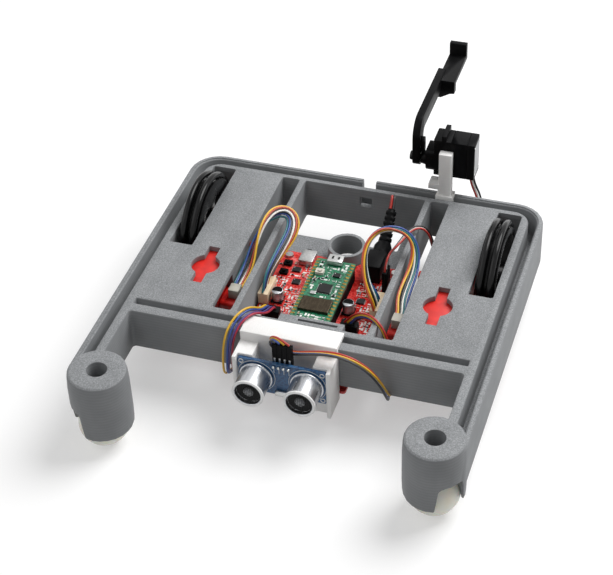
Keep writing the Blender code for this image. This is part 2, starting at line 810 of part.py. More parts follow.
def make_controller(materials, holders):
    red, green, black, white, steel = (materials[key] for key in
                                       ("red_board", "green_board", "black", "white", "steel"))
    bottom = floor_top + board_boss_height + seat_gap
    top = bottom + board_thickness
    part_base = top + seat_gap
    board = add_object("controller_board",
                       block((-board_half_width, board_front, bottom),
                             (board_half_width, board_rear, top), 2.0), red)
    cut(board, rod(cup_radius + board_notch_gap, bottom - 1, top + 1, (0, 0, 0), steps=24))
    for x, y in board_holes():
        fuse(board, screw(x, y, top, 1, chassis_bottom + board_screw_skin + 0.4))
    button_base = top - 0.2
    button_base_size = (*button_size[:2], button_size[2] + 0.2)
    for place in (reset_button_place, user_button_place):
        fuse(board, centred_block(button_base_size, place, button_base))
        cut(board, button_recess(place, top))
    make_button("reset_button", reset_button_place, top, holders["reset_button"], black)
    make_button("user_button", user_button_place, top, holders["user_button"], black)

    strip_size = (socket_strip_width, processor_length - 2.2, socket_strip_height + seat_gap + 0.2)
    processor_y = processor_rear - processor_length / 2
    for side in (-1, 1):
        fuse(board, centred_block(strip_size, (side * socket_strip_x, processor_y), top - 0.2))
    card_bottom = part_base + socket_strip_height + seat_gap
    card_top = card_bottom + processor_thickness
    card = add_object("processor_board",
                      block((-processor_half_width, processor_rear - processor_length, card_bottom),
                            (processor_half_width, processor_rear, card_top), 0.8), green)
    fuse(card, centred_block(button_base_size, boot_button_place, card_top - 0.2))
    cut(card, button_recess(boot_button_place, card_top))
    make_button("boot_button", boot_button_place, card_top, holders["boot_button"], white)
    usb_place = (0.0, processor_rear + usb_overhang - usb_size[1] / 2)
    usb = add_object("usb_socket", centred_block(usb_size, usb_place, card_top + seat_gap, 0.0), steel)
    mouth = (usb_size[0] - 1.0, usb_size[1], usb_size[2] - 1.0)
    cut(usb, centred_block(mouth, (0.0, usb_place[1] + 1.0), card_top + seat_gap + 0.5, 0.0))

    for name, place in board_plug_places.items():
        add_object(name, centred_block(board_plug_size, place, part_base), white)
    for name, place in (("line_sensor_socket", line_socket_place), ("sonar_socket", sonar_socket_place)):
        add_object(name, centred_block(sensor_socket_size, place, part_base), white)

    for name, place in capacitor_places.items():
        radius = capacitor_radius
        profile = [(0, part_base), (radius, part_base), (radius, part_base + 1.0),
                   (radius - 0.3, part_base + 1.3), (radius, part_base + 1.7),
                   (radius, part_base + capacitor_height - 0.5), (radius - 0.5, part_base + capacitor_height),
                   (0, part_base + capacitor_height)]
        add_object(name, turned(profile, (*place, 0), steps=16), steel)

    switch = add_object("power_switch", centred_block(switch_size, switch_place, part_base), steel)
    switch_back = switch_place[1] + switch_size[1] / 2
    slot_bottom = part_base + (switch_size[2] - switch_slot[2]) / 2
    slot_front = switch_back - switch_slot[1]
    cut(switch, block((switch_place[0] - switch_slot[0] / 2, slot_front, slot_bottom),
                      (switch_place[0] + switch_slot[0] / 2, switch_back + 1, slot_bottom + switch_slot[2])))
    knob_low = (switch_place[0] - (switch_travel + switch_knob[0]) / 2, slot_front + seat_gap)
    knob_high = (knob_low[0] + switch_knob[0], knob_low[1] + switch_knob[1])
    add_object("switch_slider", block((*knob_low, slot_bottom + seat_gap),
                                      (*knob_high, slot_bottom + seat_gap + switch_knob[2]), 0.2),
               black, holders["switch_slider"])

    jack_top = part_base + jack_size[2]
    jack = add_object("battery_jack", centred_block(jack_size, jack_place, part_base, 0.5), black)
    jack_mouth = jack_place[1] + jack_size[1] / 2
    jack_axis = jack_top - jack_size[2] / 2
    cut(jack, rod(3.1, jack_mouth - 9, jack_mouth + 1, (jack_place[0], 0, jack_axis), "Y", 20))
    make_battery_plug(jack_mouth, jack_axis, black)

    header = (*servo_header_size[:2], servo_header_size[2] + seat_gap + 0.2)
    fuse(board, centred_block(header, servo_header_place, top - 0.2, 0.2))
    plug_size = (*servo_header_size[:2], servo_plug_height)
    plug_bottom = part_base + servo_header_size[2] + seat_gap
    add_object("servo_plug", centred_block(plug_size, servo_header_place, plug_bottom, 0.3), black)
    return {"part_base": part_base, "servo_plug_top": plug_bottom + servo_plug_height,
            "jack_mouth": jack_mouth, "jack_axis": jack_axis}


def make_battery_plug(mouth, height, black):
    """The power plug: a barrel in the jack, a round grip and a ribbed, upturned strain relief."""
    start = mouth + seat_gap
    grip_end = start + plug_length
    x = jack_place[0]
    profile = [(0, mouth - 8), (2.7, mouth - 8), (2.7, start), (plug_radius - 0.4, start),
               (plug_radius, start + 0.6), (plug_radius, grip_end - 3), (plug_radius - 1.2, grip_end),
               (0, grip_end + 1)]
    plug = add_object("battery_plug", turned(profile, (x, 0, height), "Y", 16), black)
    relief = [(0, -3.5), (3.1, -3.5)]
    pitch = relief_length / relief_ribs
    for index in range(relief_ribs):
        ring = 3.7 - 1.0 * index / relief_ribs
        along = index * pitch
        relief += [(ring, along), (ring, along + pitch * 0.55), (ring - 0.9, along + pitch * 0.7)]
    relief += [(2.1, relief_length), (0, relief_length)]
    fuse(plug, turned(relief, (x, grip_end - relief_overlap, height), "Y", 10,
                      tilt=math.radians(relief_tilt)))


def relief_end(mouth, height):
    """Where the battery lead leaves the plug's strain relief, and the way it points."""
    tilt = math.radians(relief_tilt)
    start = mouth + seat_gap + plug_length - relief_overlap
    way = Vector((0, math.cos(tilt), math.sin(tilt)))
    return Vector((jack_place[0], start, height)) + way * (relief_length + seat_gap), way


def make_battery(black, wrap):
    """The four-cell holder under the floor, and its cells."""
    top = chassis_bottom - seat_gap
    front = holder_rear - cell_length - 2 * (holder_wall + seat_gap)
    cell_z = top - holder_roof - seat_gap - cell_radius
    holder = add_object("battery_holder",
                        block((-holder_half_width, front, holder_skirt),
                              (holder_half_width, holder_rear, top), 1.5), black)
    trough_radius = cell_radius + seat_gap
    for index in range(cell_count):
        x = (index - (cell_count - 1) / 2) * cell_pitch
        low, high = x - trough_radius, x + trough_radius
        trough_top = cell_z + trough_radius
        trough = rounded([(low, holder_skirt - 1, 0), (high, holder_skirt - 1, 0),
                          (high, trough_top, cell_radius), (low, trough_top, cell_radius)], steps=6)
        cut(holder, prism(trough, front + holder_wall, holder_rear - holder_wall, "XZ"))
        profile = [(0, 0), (cell_radius - 0.6, 0), (cell_radius, 0.6),
                   (cell_radius, cell_length - cell_nub - 0.6), (cell_radius - 0.6, cell_length - cell_nub),
                   (2.7, cell_length - cell_nub), (2.7, cell_length), (0, cell_length)]
        if index % 2:
            profile = [(radius, cell_length - along) for radius, along in profile]
        add_object(f"battery_cell_{index + 1}",
                   turned(profile, (x, front + holder_wall + seat_gap, cell_z), "Y", 12), wrap)
    return {"cell_z": cell_z}


def make_line_sensor(red, white):
    """The reflectance sensor board hung under the front wall, looking at the floor."""
    top = chassis_bottom - sensor_boss_height - seat_gap
    bottom = top - board_thickness
    board = add_object("line_sensor_board",
                       block((-sensor_half_width, sensor_y - sensor_depth / 2, bottom),
                             (sensor_half_width, sensor_y + sensor_depth / 2, top), 1.5), red)
    tip = chassis_bottom + sensor_screw_depth - 1
    for x in (-sensor_screw_x, sensor_screw_x):
        fuse(board, screw(x, sensor_y, bottom, -1, tip))
    eye_width, eye_depth, eye_height = sensor_eye_size
    for index in range(sensor_eye_count):
        x = (index - (sensor_eye_count - 1) / 2) * sensor_eye_pitch
        fuse(board, centred_block((eye_width, eye_depth, eye_height + 0.2), (x, sensor_y),
                                  bottom - eye_height, 0.3))
    place = (-sensor_half_width + sensor_plug_size[0] / 2, sensor_y)
    add_object("line_sensor_plug", centred_block(sensor_plug_size, place, top + seat_gap, 0.3), white)
    return {"plug_z": top + seat_gap + sensor_plug_size[2] / 2}


# ---------------------------------------------------------------- sonar and servo

def make_sonar(white, blue, steel, black):
    """The sonar module held by a bracket that hooks over the front wall."""
    half = sonar_width / 2
    left = sonar_x - half - seat_gap - bracket_side
    right = sonar_x + half + seat_gap + bracket_side
    band_low = deck_top + seat_gap
    band_top = band_low + bracket_thickness + 0.3
    plate_rear = front_face - seat_gap
    plate_front = plate_rear - bracket_thickness
    groove_low = front_face + front_lip + seat_gap
    groove_high = front_face + front_lip + front_groove_width - seat_gap
    sonar_back = sonar_front + board_thickness
    bracket = add_object("sonar_bracket",
                         block((left, plate_front, bracket_bottom), (right, plate_rear, band_top)), white)
    fuse(bracket, block((left, plate_front + 0.5, band_low), (right, groove_high, band_top)))
    fuse(bracket, block((left + 2, groove_low, band_low - bracket_hook_depth),
                        (right - 2, groove_high, band_low + 1)))
    for side in (-1, 1):
        edge = left if side < 0 else right
        inner = edge - side * bracket_arm_width
        xs = sorted((edge, inner))
        fuse(bracket, block((xs[0], sonar_back + seat_gap, bracket_bottom),
                            (xs[1], plate_front + 0.5, bracket_arm_top)))
        lip = sorted((edge, edge - side * bracket_side))
        fuse(bracket, block((lip[0], sonar_front - bracket_lip, bracket_bottom),
                            (lip[1], sonar_back + 1, bracket_arm_top)))

    board = add_object("sonar_board", prism(rectangle((sonar_x - half, sonar_bottom),
                                                      (sonar_x + half, sonar_bottom + sonar_height), 1.0),
                                            sonar_front, sonar_back, "XZ"), blue)
    can_z = sonar_bottom + sonar_height / 2
    for side, name in ((-1, "sonar_transmitter"), (1, "sonar_receiver")):
        back = sonar_front - seat_gap
        front = sonar_front - can_length
        flange, body, bore = can_radius + 0.5, can_radius - 0.2, can_radius - 1.3
        profile = [(0, back), (flange, back), (flange, back - 0.8), (body, back - 1.1),
                   (body, front + 1.0), (can_radius, front + 0.8), (can_radius, front),
                   (bore, front), (bore, front + can_recess), (0, front + can_recess)]
        add_object(name, turned(profile, (sonar_x + side * can_pitch / 2, 0, can_z), "Y", 24), steel)

    header_front = sonar_back + seat_gap
    header = (sonar_x - header_width / 2, sonar_x + header_width / 2)
    fuse(board, block((header[0], sonar_back - 0.2, sonar_plug_bottom - seat_gap - header_depth),
                      (header[1], header_front + header_depth, sonar_plug_bottom - seat_gap)))
    plug_top = sonar_plug_bottom + sonar_plug_height
    add_object("sonar_plug", block((header[0], header_front, sonar_plug_bottom),
                                   (header[1], header_front + header_depth, plug_top), 0.3), black)


def make_servo(white, black, steel, holder):
    """The servo on its bracket in the rear groove, and the arm that it turns."""
    groove_low = rear_face - rim_thickness - rear_groove_width + seat_gap
    groove_high = rear_face - rim_thickness - seat_gap
    gap_low = deck_top - servo_gap_depth + seat_gap
    servo_rear = servo_front + servo_depth
    foot = (servo_gap[0] + seat_gap, servo_gap[1] - seat_gap)
    bracket = add_object("servo_bracket", block((foot[0], groove_low, groove_floor + seat_gap),
                                                (foot[1], groove_high, deck_top + 1.6)), white)
    fuse(bracket, block((foot[0], groove_low, gap_low), (foot[1], rear_face, deck_top + 1.6)))
    fuse(bracket, block((bracket_post[0], groove_low + 1.0, deck_top),
                        (bracket_post[1], servo_front - seat_gap, bracket_post_top), 0.6))
    lug_top = servo_bottom - servo_tab_reach - seat_gap
    fuse(bracket, block((servo_x[0] - 1.5, groove_low + 1.0, lug_top - 3.0),
                        (bracket_post[0] + 1, servo_front + 3.0, lug_top)))

    shaft_z = servo_bottom + servo_shaft_rise
    shaft_y = (servo_front + servo_rear) / 2
    case = add_object("servo_case", block((servo_x[0], servo_front, servo_bottom),
                                          (servo_x[1], servo_rear, servo_bottom + servo_height), 0.6), black)
    fuse(case, block((servo_tab[0], servo_front, servo_bottom - servo_tab_reach),
                     (servo_tab[1], servo_rear, servo_bottom + servo_height + servo_tab_reach), 0.4))
    boss_outline = rounded([(servo_front, servo_bottom, 5.6), (servo_rear, servo_bottom, 5.6),
                            (servo_rear, servo_bottom + servo_boss_height, 2.5),
                            (servo_front, servo_bottom + servo_boss_height, 2.5)], steps=6)
    boss_face = servo_x[0] - servo_boss_length
    fuse(case, prism(boss_outline, boss_face, servo_x[0] + 1, "YZ"))
    shaft_at = (0, shaft_y, shaft_z)
    cut(case, rod(servo_shaft_radius + seat_gap, boss_face - 1, servo_x[0] + 2, shaft_at, "X", 20))

    bar_inner = arm_bar[1]
    horn_face = bar_inner + seat_gap
    add_object("servo_shaft", rod(servo_shaft_radius, horn_face + horn_thickness - 1.0, servo_x[0] + 1.5,
                                  shaft_at, "X", 16), steel, holder)
    horn_hub_end = boss_face - seat_gap
    horn_bore = servo_shaft_radius + seat_gap
    bore_floor = horn_face + horn_thickness - 1.0 - seat_gap
    horn = add_object("servo_horn", turned(
        [(horn_screw_hole, horn_face), (horn_radius, horn_face), (horn_radius + 0.6, horn_hub_end),
         (horn_bore, horn_hub_end), (horn_bore, bore_floor), (horn_screw_hole, bore_floor)],
        shaft_at, "X", 18), white, holder)
    fuse(horn, prism(rectangle((shaft_y - 2.0, shaft_z + 3.0), (shaft_y + 2.0, shaft_z + 13.0), 1.9),
                     horn_face, horn_face + horn_thickness, "YZ"))

    bar_front = shaft_y - arm_bar_depth / 2
    bar_rear = shaft_y + arm_bar_depth / 2
    bar_low = arm_bar_top - arm_bar_depth
    end_radius = arm_bar_depth / 2 - 0.1
    bar_end = shaft_z - arm_bar_below_shaft
    bar_outline = rounded([(bar_front, bar_end, end_radius), (bar_rear, bar_end, end_radius),
                           (bar_rear, bar_low, 4.0), (arm_reach, bar_low, 1.0),
                           (arm_reach, arm_bar_top, 1.0), (bar_front, arm_bar_top, 10.0)], steps=6)
    arm = add_object("lift_arm", prism(bar_outline, *arm_bar, "YZ"), black, holder)
    paddle_low = paddle_top - paddle_thickness
    fuse(arm, block((paddle_x[0], paddle_y[0], paddle_low), (paddle_x[1], paddle_y[1], paddle_top)))
    fuse(arm, block((paddle_x[0], paddle_y[1] - paddle_thickness, paddle_low),
                    (paddle_x[1], paddle_y[1], paddle_top + paddle_lip)))
    web = rounded([(arm_bar[0] + 1, paddle_top - 0.5, 0), (arm_bar[0] + 1, bar_low - 4.0, 0),
                   (arm_bar[1], bar_low - 4.0, 0), (paddle_x[1] - 2.5, paddle_low - 5.0, 4.0),
                   (paddle_x[1], paddle_low - 4.6, 0), (paddle_x[1], paddle_top - 0.5, 0)])
    fuse(arm, prism(web, paddle_y[0], paddle_y[0] + 4.0, "XZ"))
    cut(arm, rod(horn_screw_hole + seat_gap, arm_bar[0] - 1, arm_bar[1] + 1, shaft_at, "X", 12))
    head = arm_bar[0] - seat_gap
    shank = horn_screw_hole - seat_gap
    add_object("horn_screw", turned([(0, head - 1.6), (2.4, head - 1.6), (2.6, head), (shank, head),
                                     (shank, bore_floor), (0, bore_floor)], shaft_at, "X", 12), steel, holder)


# ---------------------------------------------------------------- wire bundles

def make_cables(wire, places):
    """Bundles of wires, held at both ends. Each route's points are chosen by hand."""
    plug_top = places["part_base"] + board_plug_size[2] + seat_gap
    socket_z = cover_heights()[1] + seat_gap + motor_socket_size[2] / 2
    socket_x = motor_socket_x()
    socket_y = motor_socket_y + motor_socket_size[1] / 2 + seat_gap
    add_cable("left_motor_cable", [
        (-30.0, -44.6, plug_top), (-30.0, -44.6, plug_top + 2.0), (-29.4, -39.5, 40.4), (-27.0, -26.0, 44.6),
        (-25.0, -14.0, 48.6), (-27.2, -5.8, 51.8), (-32.4, -3.8, 53.2), (-37.2, -9.0, 53.6),
        (-40.3, -18.5, 51.2), (-41.6, -27.5, 45.5), (-42.0, -35.0, 39.8), (-42.6, -42.5, socket_z + 0.6),
        (-socket_x, -47.5, socket_z), (-socket_x, socket_y, socket_z)], motor_cable_diameter, wire)
    add_cable("right_motor_cable", [
        (28.6, -43.0, plug_top), (28.6, -43.0, plug_top + 2.0), (23.6, -40.2, 44.6), (19.6, -32.5, 53.4),
        (19.4, -23.5, 58.6), (23.6, -15.5, 60.6), (30.4, -12.0, 59.6), (37.2, -10.4, 55.0),
        (40.9, -13.8, 48.2), (41.6, -22.0, 43.0), (41.0, -33.0, 40.2), (41.2, -42.0, 38.0),
        (socket_x, -47.5, socket_z), (socket_x, socket_y, socket_z)], motor_cable_diameter, wire)
    socket_top = places["part_base"] + sensor_socket_size[2] + seat_gap
    add_cable("line_sensor_cable", [
        (*line_socket_place, socket_top), (*line_socket_place, socket_top + 1.8),
        (-22.0, -66.5, 39.6), (-22.3, -72.0, 42.6), (-23.0, -76.5, 46.6),
        (-25.0, -80.5, 49.6), (-28.2, -87.0, 49.2), (-30.2, -93.6, 45.8),
        (-31.2, -96.6, 38.5), (-31.8, -97.6, 29.5), (-32.6, -96.2, 20.5), (-33.0, -91.0, 16.4),
        (-31.4, -86.2, 17.4), (-28.8, sensor_y, places["plug_z"]),
        (-sensor_half_width - seat_gap, sensor_y, places["plug_z"])], sensor_cable_diameter, wire)
    header_y = sonar_front + board_thickness + seat_gap + header_depth / 2
    sonar_plug_top = sonar_plug_bottom + sonar_plug_height + seat_gap
    add_cable("sonar_cable", [
        (*sonar_socket_place, socket_top), (*sonar_socket_place, socket_top + 1.8),
        (23.2, -61.4, 42.8), (28.2, -64.0, 46.8), (33.2, -66.5, 48.4), (38.0, -68.5, 47.8),
        (41.3, -70.5, 43.5), (42.6, -71.5, 36.0), (43.2, -72.0, 27.0), (44.0, -74.0, 18.4),
        (46.4, -80.5, 15.2), (48.8, -90.0, 15.6), (49.6, -95.4, 23.0), (46.2, -96.4, 33.5),
        (40.4, -98.0, 41.8), (34.0, -98.6, 47.0), (26.0, -99.4, 49.8), (17.0, -99.4, 48.8),
        (7.5, -97.4, 43.8), (0.0, -97.0, 40.8), (-7.5, -97.0, 41.4), (-11.6, -97.2, 46.5),
        (-10.2, -98.6, 53.2),
        (-5.6, -100.8, 56.4), (-2.0, header_y, 55.6), (sonar_x, header_y, 53.2),
        (sonar_x, header_y, sonar_plug_top)],
        sensor_cable_diameter, wire)
    servo_plug_end = (*servo_header_place, places["servo_plug_top"] + seat_gap)
    servo_exit = servo_bottom - seat_gap
    add_cable("servo_cable", [
        (55.0, 49.2, servo_exit), (55.0, 49.2, 52.6), (57.0, 49.2, 46.5), (59.2, 49.6, 41.5),
        (59.6, 49.8, 34.0), (58.4, 50.0, 25.0), (55.6, 48.6, 17.6), (51.6, 42.6, 14.2),
        (47.5, 34.0, 14.8), (44.2, 22.0, 21.0), (43.4, 13.0, 33.0),
        (42.0, 9.8, 43.0), (38.4, 8.4, 48.0), (34.0, 5.5, 47.6), (30.6, -2.0, 45.4), (28.7, -10.0, 45.0),
        (28.1, -16.6, 47.4), (28.0, -21.4, 47.2), (28.0, -23.2, 44.4), servo_plug_end],
        servo_cable_diameter, wire)
    start, way = relief_end(places["jack_mouth"], places["jack_axis"])
    add_cable("battery_lead", [
        start, start + way * 3.5, (18.4, 25.6, 52.2), (17.0, 29.6, 48.0), (15.4, 30.4, 38.0),
        (13.4, 28.6, 26.0), (10.8, 22.0, 15.5), (8.6, 10.0, 11.6), (7.8, -1.0, places["cell_z"]),
        (7.6, holder_rear + seat_gap, places["cell_z"])], battery_lead_diameter, wire)


# ---------------------------------------------------------------- assembly

clear_scene()
robot = make_empty("robot", (0, -robot_centre_y, 0))

materials = {
    "grey": make_material("grey_printed_plastic", "#85888B", 0.62),
    "black": make_material("black_plastic", "#161616", 0.45),
    "white": make_material("white_plastic", "#ECEAE4", 0.5),
    "red": make_material("red_plastic", "#C8231E", 0.4),
    "rubber": make_material("black_rubber", "#101010", 0.35),
    "cream": make_material("cream_ball", "#EFE9CF", 0.25),
    "steel": make_material("bright_metal", "#B8BABC", 0.3, 0.9),
    "red_board": make_material("red_board", "#B01E1A", 0.4),
    "green_board": make_material("green_board", "#0E6B46", 0.4),
    "blue_board": make_material("blue_board", "#1D4C72", 0.4),
    "wrap": make_material("cell_wrap", "#3A3D40", 0.4),
    "wire": make_material("wire_bundle", "#A5453A", 0.5),
}

controller_holders = {
    name: make_empty(name + "_axis", (*place, chassis_bottom), robot)
    for name, place in (("reset_button", reset_button_place), ("user_button", user_button_place),
                        ("boot_button", boot_button_place), ("switch_slider", switch_place))
}

make_chassis(materials["grey"])
for side, name in ((-1, "left"), (1, "right")):
    make_motor(side, name, materials["red"], materials["white"])
    wheel_axis = make_empty(name + "_wheel_axis", (side * wheel_x, 0, wheel_radius), robot)
    make_wheel(side, name, wheel_axis, materials["black"], materials["rubber"], materials["steel"])
    ball_axis = make_empty(name + "_caster_axis", (side * leg_x, leg_y, ball_radius), robot)
    make_caster_ball(side, name, ball_axis, materials["cream"])
cable_places = make_controller(materials, controller_holders)
cable_places |= make_battery(materials["black"], materials["wrap"])
cable_places |= make_line_sensor(materials["red_board"], materials["white"])
make_sonar(materials["white"], materials["blue_board"], materials["steel"], materials["black"])
servo_axis = make_empty("servo_axis", (servo_x[0], servo_front + servo_depth / 2,
                                       servo_bottom + servo_shaft_rise), robot)
make_servo(materials["white"], materials["black"], materials["steel"], servo_axis)
make_cables(materials["wire"], cable_places)
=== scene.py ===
"""The finish of a line follower robot: printed chassis, boards with their parts, wires, tyres and balls.

The robot's frame is loaded first, and everything is placed from its nodes. Places on the
robot are written in millimetres from the wheel axle line, as a maker would measure them.
"""
import json
import math
import random

import bpy
from bpy.props import FloatProperty, PointerProperty
from mathutils import Matrix, Vector
from mathutils.geometry import interpolate_bezier

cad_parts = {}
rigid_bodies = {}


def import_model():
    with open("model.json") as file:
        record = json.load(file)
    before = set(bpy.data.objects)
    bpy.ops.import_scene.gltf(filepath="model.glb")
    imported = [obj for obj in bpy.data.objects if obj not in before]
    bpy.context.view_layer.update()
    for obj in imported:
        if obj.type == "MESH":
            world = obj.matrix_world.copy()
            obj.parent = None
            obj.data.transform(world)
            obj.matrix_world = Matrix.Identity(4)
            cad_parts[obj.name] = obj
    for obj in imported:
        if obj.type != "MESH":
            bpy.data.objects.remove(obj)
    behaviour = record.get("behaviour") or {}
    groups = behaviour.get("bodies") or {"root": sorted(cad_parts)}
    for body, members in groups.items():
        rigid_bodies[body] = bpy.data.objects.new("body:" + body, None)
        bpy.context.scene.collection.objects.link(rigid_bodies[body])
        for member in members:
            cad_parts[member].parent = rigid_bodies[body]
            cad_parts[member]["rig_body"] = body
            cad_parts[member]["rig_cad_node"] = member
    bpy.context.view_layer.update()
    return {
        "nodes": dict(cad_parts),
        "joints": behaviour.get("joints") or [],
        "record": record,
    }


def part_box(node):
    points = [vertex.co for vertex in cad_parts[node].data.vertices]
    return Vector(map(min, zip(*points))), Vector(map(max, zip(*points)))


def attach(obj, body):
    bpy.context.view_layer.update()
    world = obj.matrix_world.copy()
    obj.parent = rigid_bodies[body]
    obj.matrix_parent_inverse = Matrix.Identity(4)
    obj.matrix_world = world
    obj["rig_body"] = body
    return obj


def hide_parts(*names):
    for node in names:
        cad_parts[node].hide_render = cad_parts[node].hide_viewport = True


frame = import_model()

bl_info = {
    "name": "Line Follower Robot Finish",
    "version": (1, 0, 0),
    "blender": (4, 5, 0),
    "location": "View3D > Sidebar > Robot",
    "description": "Adds the finish, the wires and the board parts of a line follower robot",
    "category": "Object",
}

MM = 0.001
AXLE_Y = next(j["pos_m"][1] for j in frame["joints"] if j["name"] == "left_wheel_spin")
BODY_OF = {node: body for body, nodes in frame["record"]["behaviour"]["bodies"].items() for node in nodes}
SLOT_OF = {part["node"]: part["material_slot"] for part in frame["record"]["subparts"]}


# ---------------------------------------------------------------- tools

def linear(hex_colour):
    """An sRGB hex colour as linear RGBA."""
    channels = [int(hex_colour[i:i + 2], 16) / 255 for i in (1, 3, 5)]
    return (*[c / 12.92 if c <= 0.04045 else ((c + 0.055) / 1.055) ** 2.4 for c in channels], 1.0)


def at(x, y, z):
    """A place in metres from millimetres measured from the axle line."""
    return Vector((x * MM, y * MM + AXLE_Y, z * MM))


def node_box(node):
    """A node's lowest and highest corner, in millimetres from the axle line."""
    low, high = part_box(node)
    shift = Vector((0, AXLE_Y, 0))
    return (low - shift) / MM, (high - shift) / MM


def deselect():
    bpy.ops.object.select_all(action="DESELECT")


def take(piece):
    """Makes one piece the selected and active one."""
    deselect()
    piece.select_set(True)
    bpy.context.view_layer.objects.active = piece
    return piece


def settle(piece):
    """Moves a piece's place, turn and size into its mesh."""
    take(piece)
    bpy.ops.object.transform_apply(location=True, rotation=True, scale=True)
    return piece


FACING = 0.9                # a face looks along a way when its normal's share along it is above this
WIDE_FACE = 0.00005         # square metres


def edit_faces(piece, chosen):
    """Opens a piece in edit mode with the faces selected that a test picks."""
    take(piece)
    bpy.ops.object.mode_set(mode="EDIT")
    bpy.ops.mesh.select_mode(type="FACE")
    bpy.ops.mesh.select_all(action="DESELECT")
    bpy.ops.object.mode_set(mode="OBJECT")
    for face in piece.data.polygons:
        face.select = chosen(face)
    bpy.ops.object.mode_set(mode="EDIT")


def edit_all(piece):
    """Opens a piece in edit mode, selected all over."""
    take(piece)
    bpy.ops.object.mode_set(mode="EDIT")
    bpy.ops.mesh.select_all(action="SELECT")


def leave_edit():
    bpy.ops.object.mode_set(mode="OBJECT")


def apply_modifier(piece, kind, **settings):
    take(piece)
    modifier = piece.modifiers.new(kind.title(), kind)
    for key, value in settings.items():
        setattr(modifier, key, value)
    bpy.ops.object.modifier_apply(modifier=modifier.name)


def paint(piece, *materials):
    piece.data.materials.clear()
    for material in materials:
        piece.data.materials.append(material)
    return piece


def paint_faces(piece, pick):
    """Gives each face the material whose number is picked from its middle in millimetres."""
    for face in piece.data.polygons:
        face.material_index = int(pick((face.center - Vector((0, AXLE_Y, 0))) / MM, face))


def slab(name, low, high, material, round_edges=0.0):
    """A block between two corners in millimetres, its edges rounded."""
    deselect()
    low, high = at(*low), at(*high)
    bpy.ops.mesh.primitive_cube_add(size=1, location=(low + high) / 2)
    piece = bpy.context.object
    piece.name = name
    piece.scale = high - low
    settle(piece)
    if round_edges:
        edit_all(piece)
        bpy.ops.mesh.bevel(offset=round_edges * MM, segments=2, affect="EDGES")
        leave_edit()
    return paint(piece, material)


TURNS = {"X": (0, math.pi / 2, 0), "Y": (math.pi / 2, 0, 0), "Z": (0, 0, 0)}
WAYS = {"X": Vector((1, 0, 0)), "Y": Vector((0, -1, 0)), "Z": Vector((0, 0, 1))}


def pillar(name, centre, radius, height, material, axis="Z", vertices=32, round_edges=0.0):
    """A round piece standing on its centre, in millimetres, with rounded rims."""
    deselect()
    bpy.ops.mesh.primitive_cylinder_add(vertices=vertices, radius=radius * MM, depth=height * MM,
                                        location=at(*centre) + WAYS[axis] * height * MM / 2,
                                        rotation=TURNS[axis])
    piece = settle(bpy.context.object)
    piece.name = name
    if round_edges:
        break_edges(piece, round_edges)
    take(piece)
    bpy.ops.object.shade_smooth_by_angle(angle=math.radians(40))
    return paint(piece, material)


def break_edges(piece, width, angle=50, **settings):
    """Rounds the edges that are sharper than an angle."""
    apply_modifier(piece, "BEVEL", width=width * MM, limit_method="ANGLE", angle_limit=math.radians(angle),
                   **{"segments": 2, **settings})


def ring(name, centre, radius, section, material, axis="Z", steps=64):
    """A round ring about a centre, in millimetres."""
    deselect()
    bpy.ops.mesh.primitive_torus_add(major_radius=radius * MM, minor_radius=section * MM,
                                     major_segments=steps, minor_segments=16,
                                     location=at(*centre), rotation=TURNS[axis])
    piece = settle(bpy.context.object)
    piece.name = name
    take(piece)
    bpy.ops.object.shade_smooth()
    return paint(piece, material)


def copies(original, places):
    """Copies of a piece, each moved in millimetres and, where a place has a fourth number, turned by it."""
    made = []
    middle = sum((Vector(corner) for corner in original.bound_box), Vector()) / 8
    for x, y, z, *turn in places:
        piece = original.copy()
        piece.data = original.data.copy()
        bpy.context.collection.objects.link(piece)
        spin = Matrix.Rotation(sum(turn), 4, "Z")
        spin = Matrix.Translation(middle) @ spin @ Matrix.Translation(-middle)
        piece.data.transform(Matrix.Translation(Vector((x, y, z)) * MM) @ spin)
        made.append(piece)
    bpy.data.objects.remove(original)
    return made


def evenly(count, pitch):
    """Places of an even row, about its middle."""
    return [pitch * (index - (count - 1) / 2) for index in range(count)]


def join(name, pieces):
    deselect()
    for piece in pieces:
        piece.select_set(True)
    bpy.context.view_layer.objects.active = pieces[0]
    bpy.ops.object.join()
    piece = bpy.context.object
    piece.name = name
    return piece


def belong(piece, node, *stands_for):
    """Rides a piece with a node's body, and hides the nodes that it stands for."""
    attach(piece, BODY_OF[node])
    SLOT_OF[node]
    if stands_for:
        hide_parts(*stands_for)
    return piece


def finished(node, material, edge=0.25, angle=32):
    """A node with its loose triangles merged and its sharp edges broken, as a made part has them."""
    deselect()
    source = frame["nodes"][node]
    piece = source.copy()
    piece.data = source.data.copy()
    piece.parent = None
    bpy.context.collection.objects.link(piece)
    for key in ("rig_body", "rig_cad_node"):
        del piece[key]
    piece.name = node + "_finish"
    edit_all(piece)
    bpy.ops.mesh.remove_doubles(threshold=0.01 * MM)
    bpy.ops.mesh.dissolve_limited(angle_limit=math.radians(1.0))
    leave_edit()
    if edge:
        break_edges(piece, edge, angle, harden_normals=False)
    take(piece)
    bpy.ops.object.shade_smooth_by_angle(angle=math.radians(angle))
    return belong(paint(piece, material), node, node)


def finish_all(skin, edges, angle=32):
    """Finishes several nodes in one material, each with its own edge."""
    for node, edge in edges.items():
        finished(node, look[skin], edge, angle)


# ---------------------------------------------------------------- materials

def new_material(name):
    """An empty material with its shader, and the object's own coordinates."""
    material = bpy.data.materials.new(name)
    material.use_nodes = True
    tree = material.node_tree
    coords = tree.nodes.new("ShaderNodeTexCoord").outputs["Object"]
    return material, tree, coords, tree.nodes["Principled BSDF"]


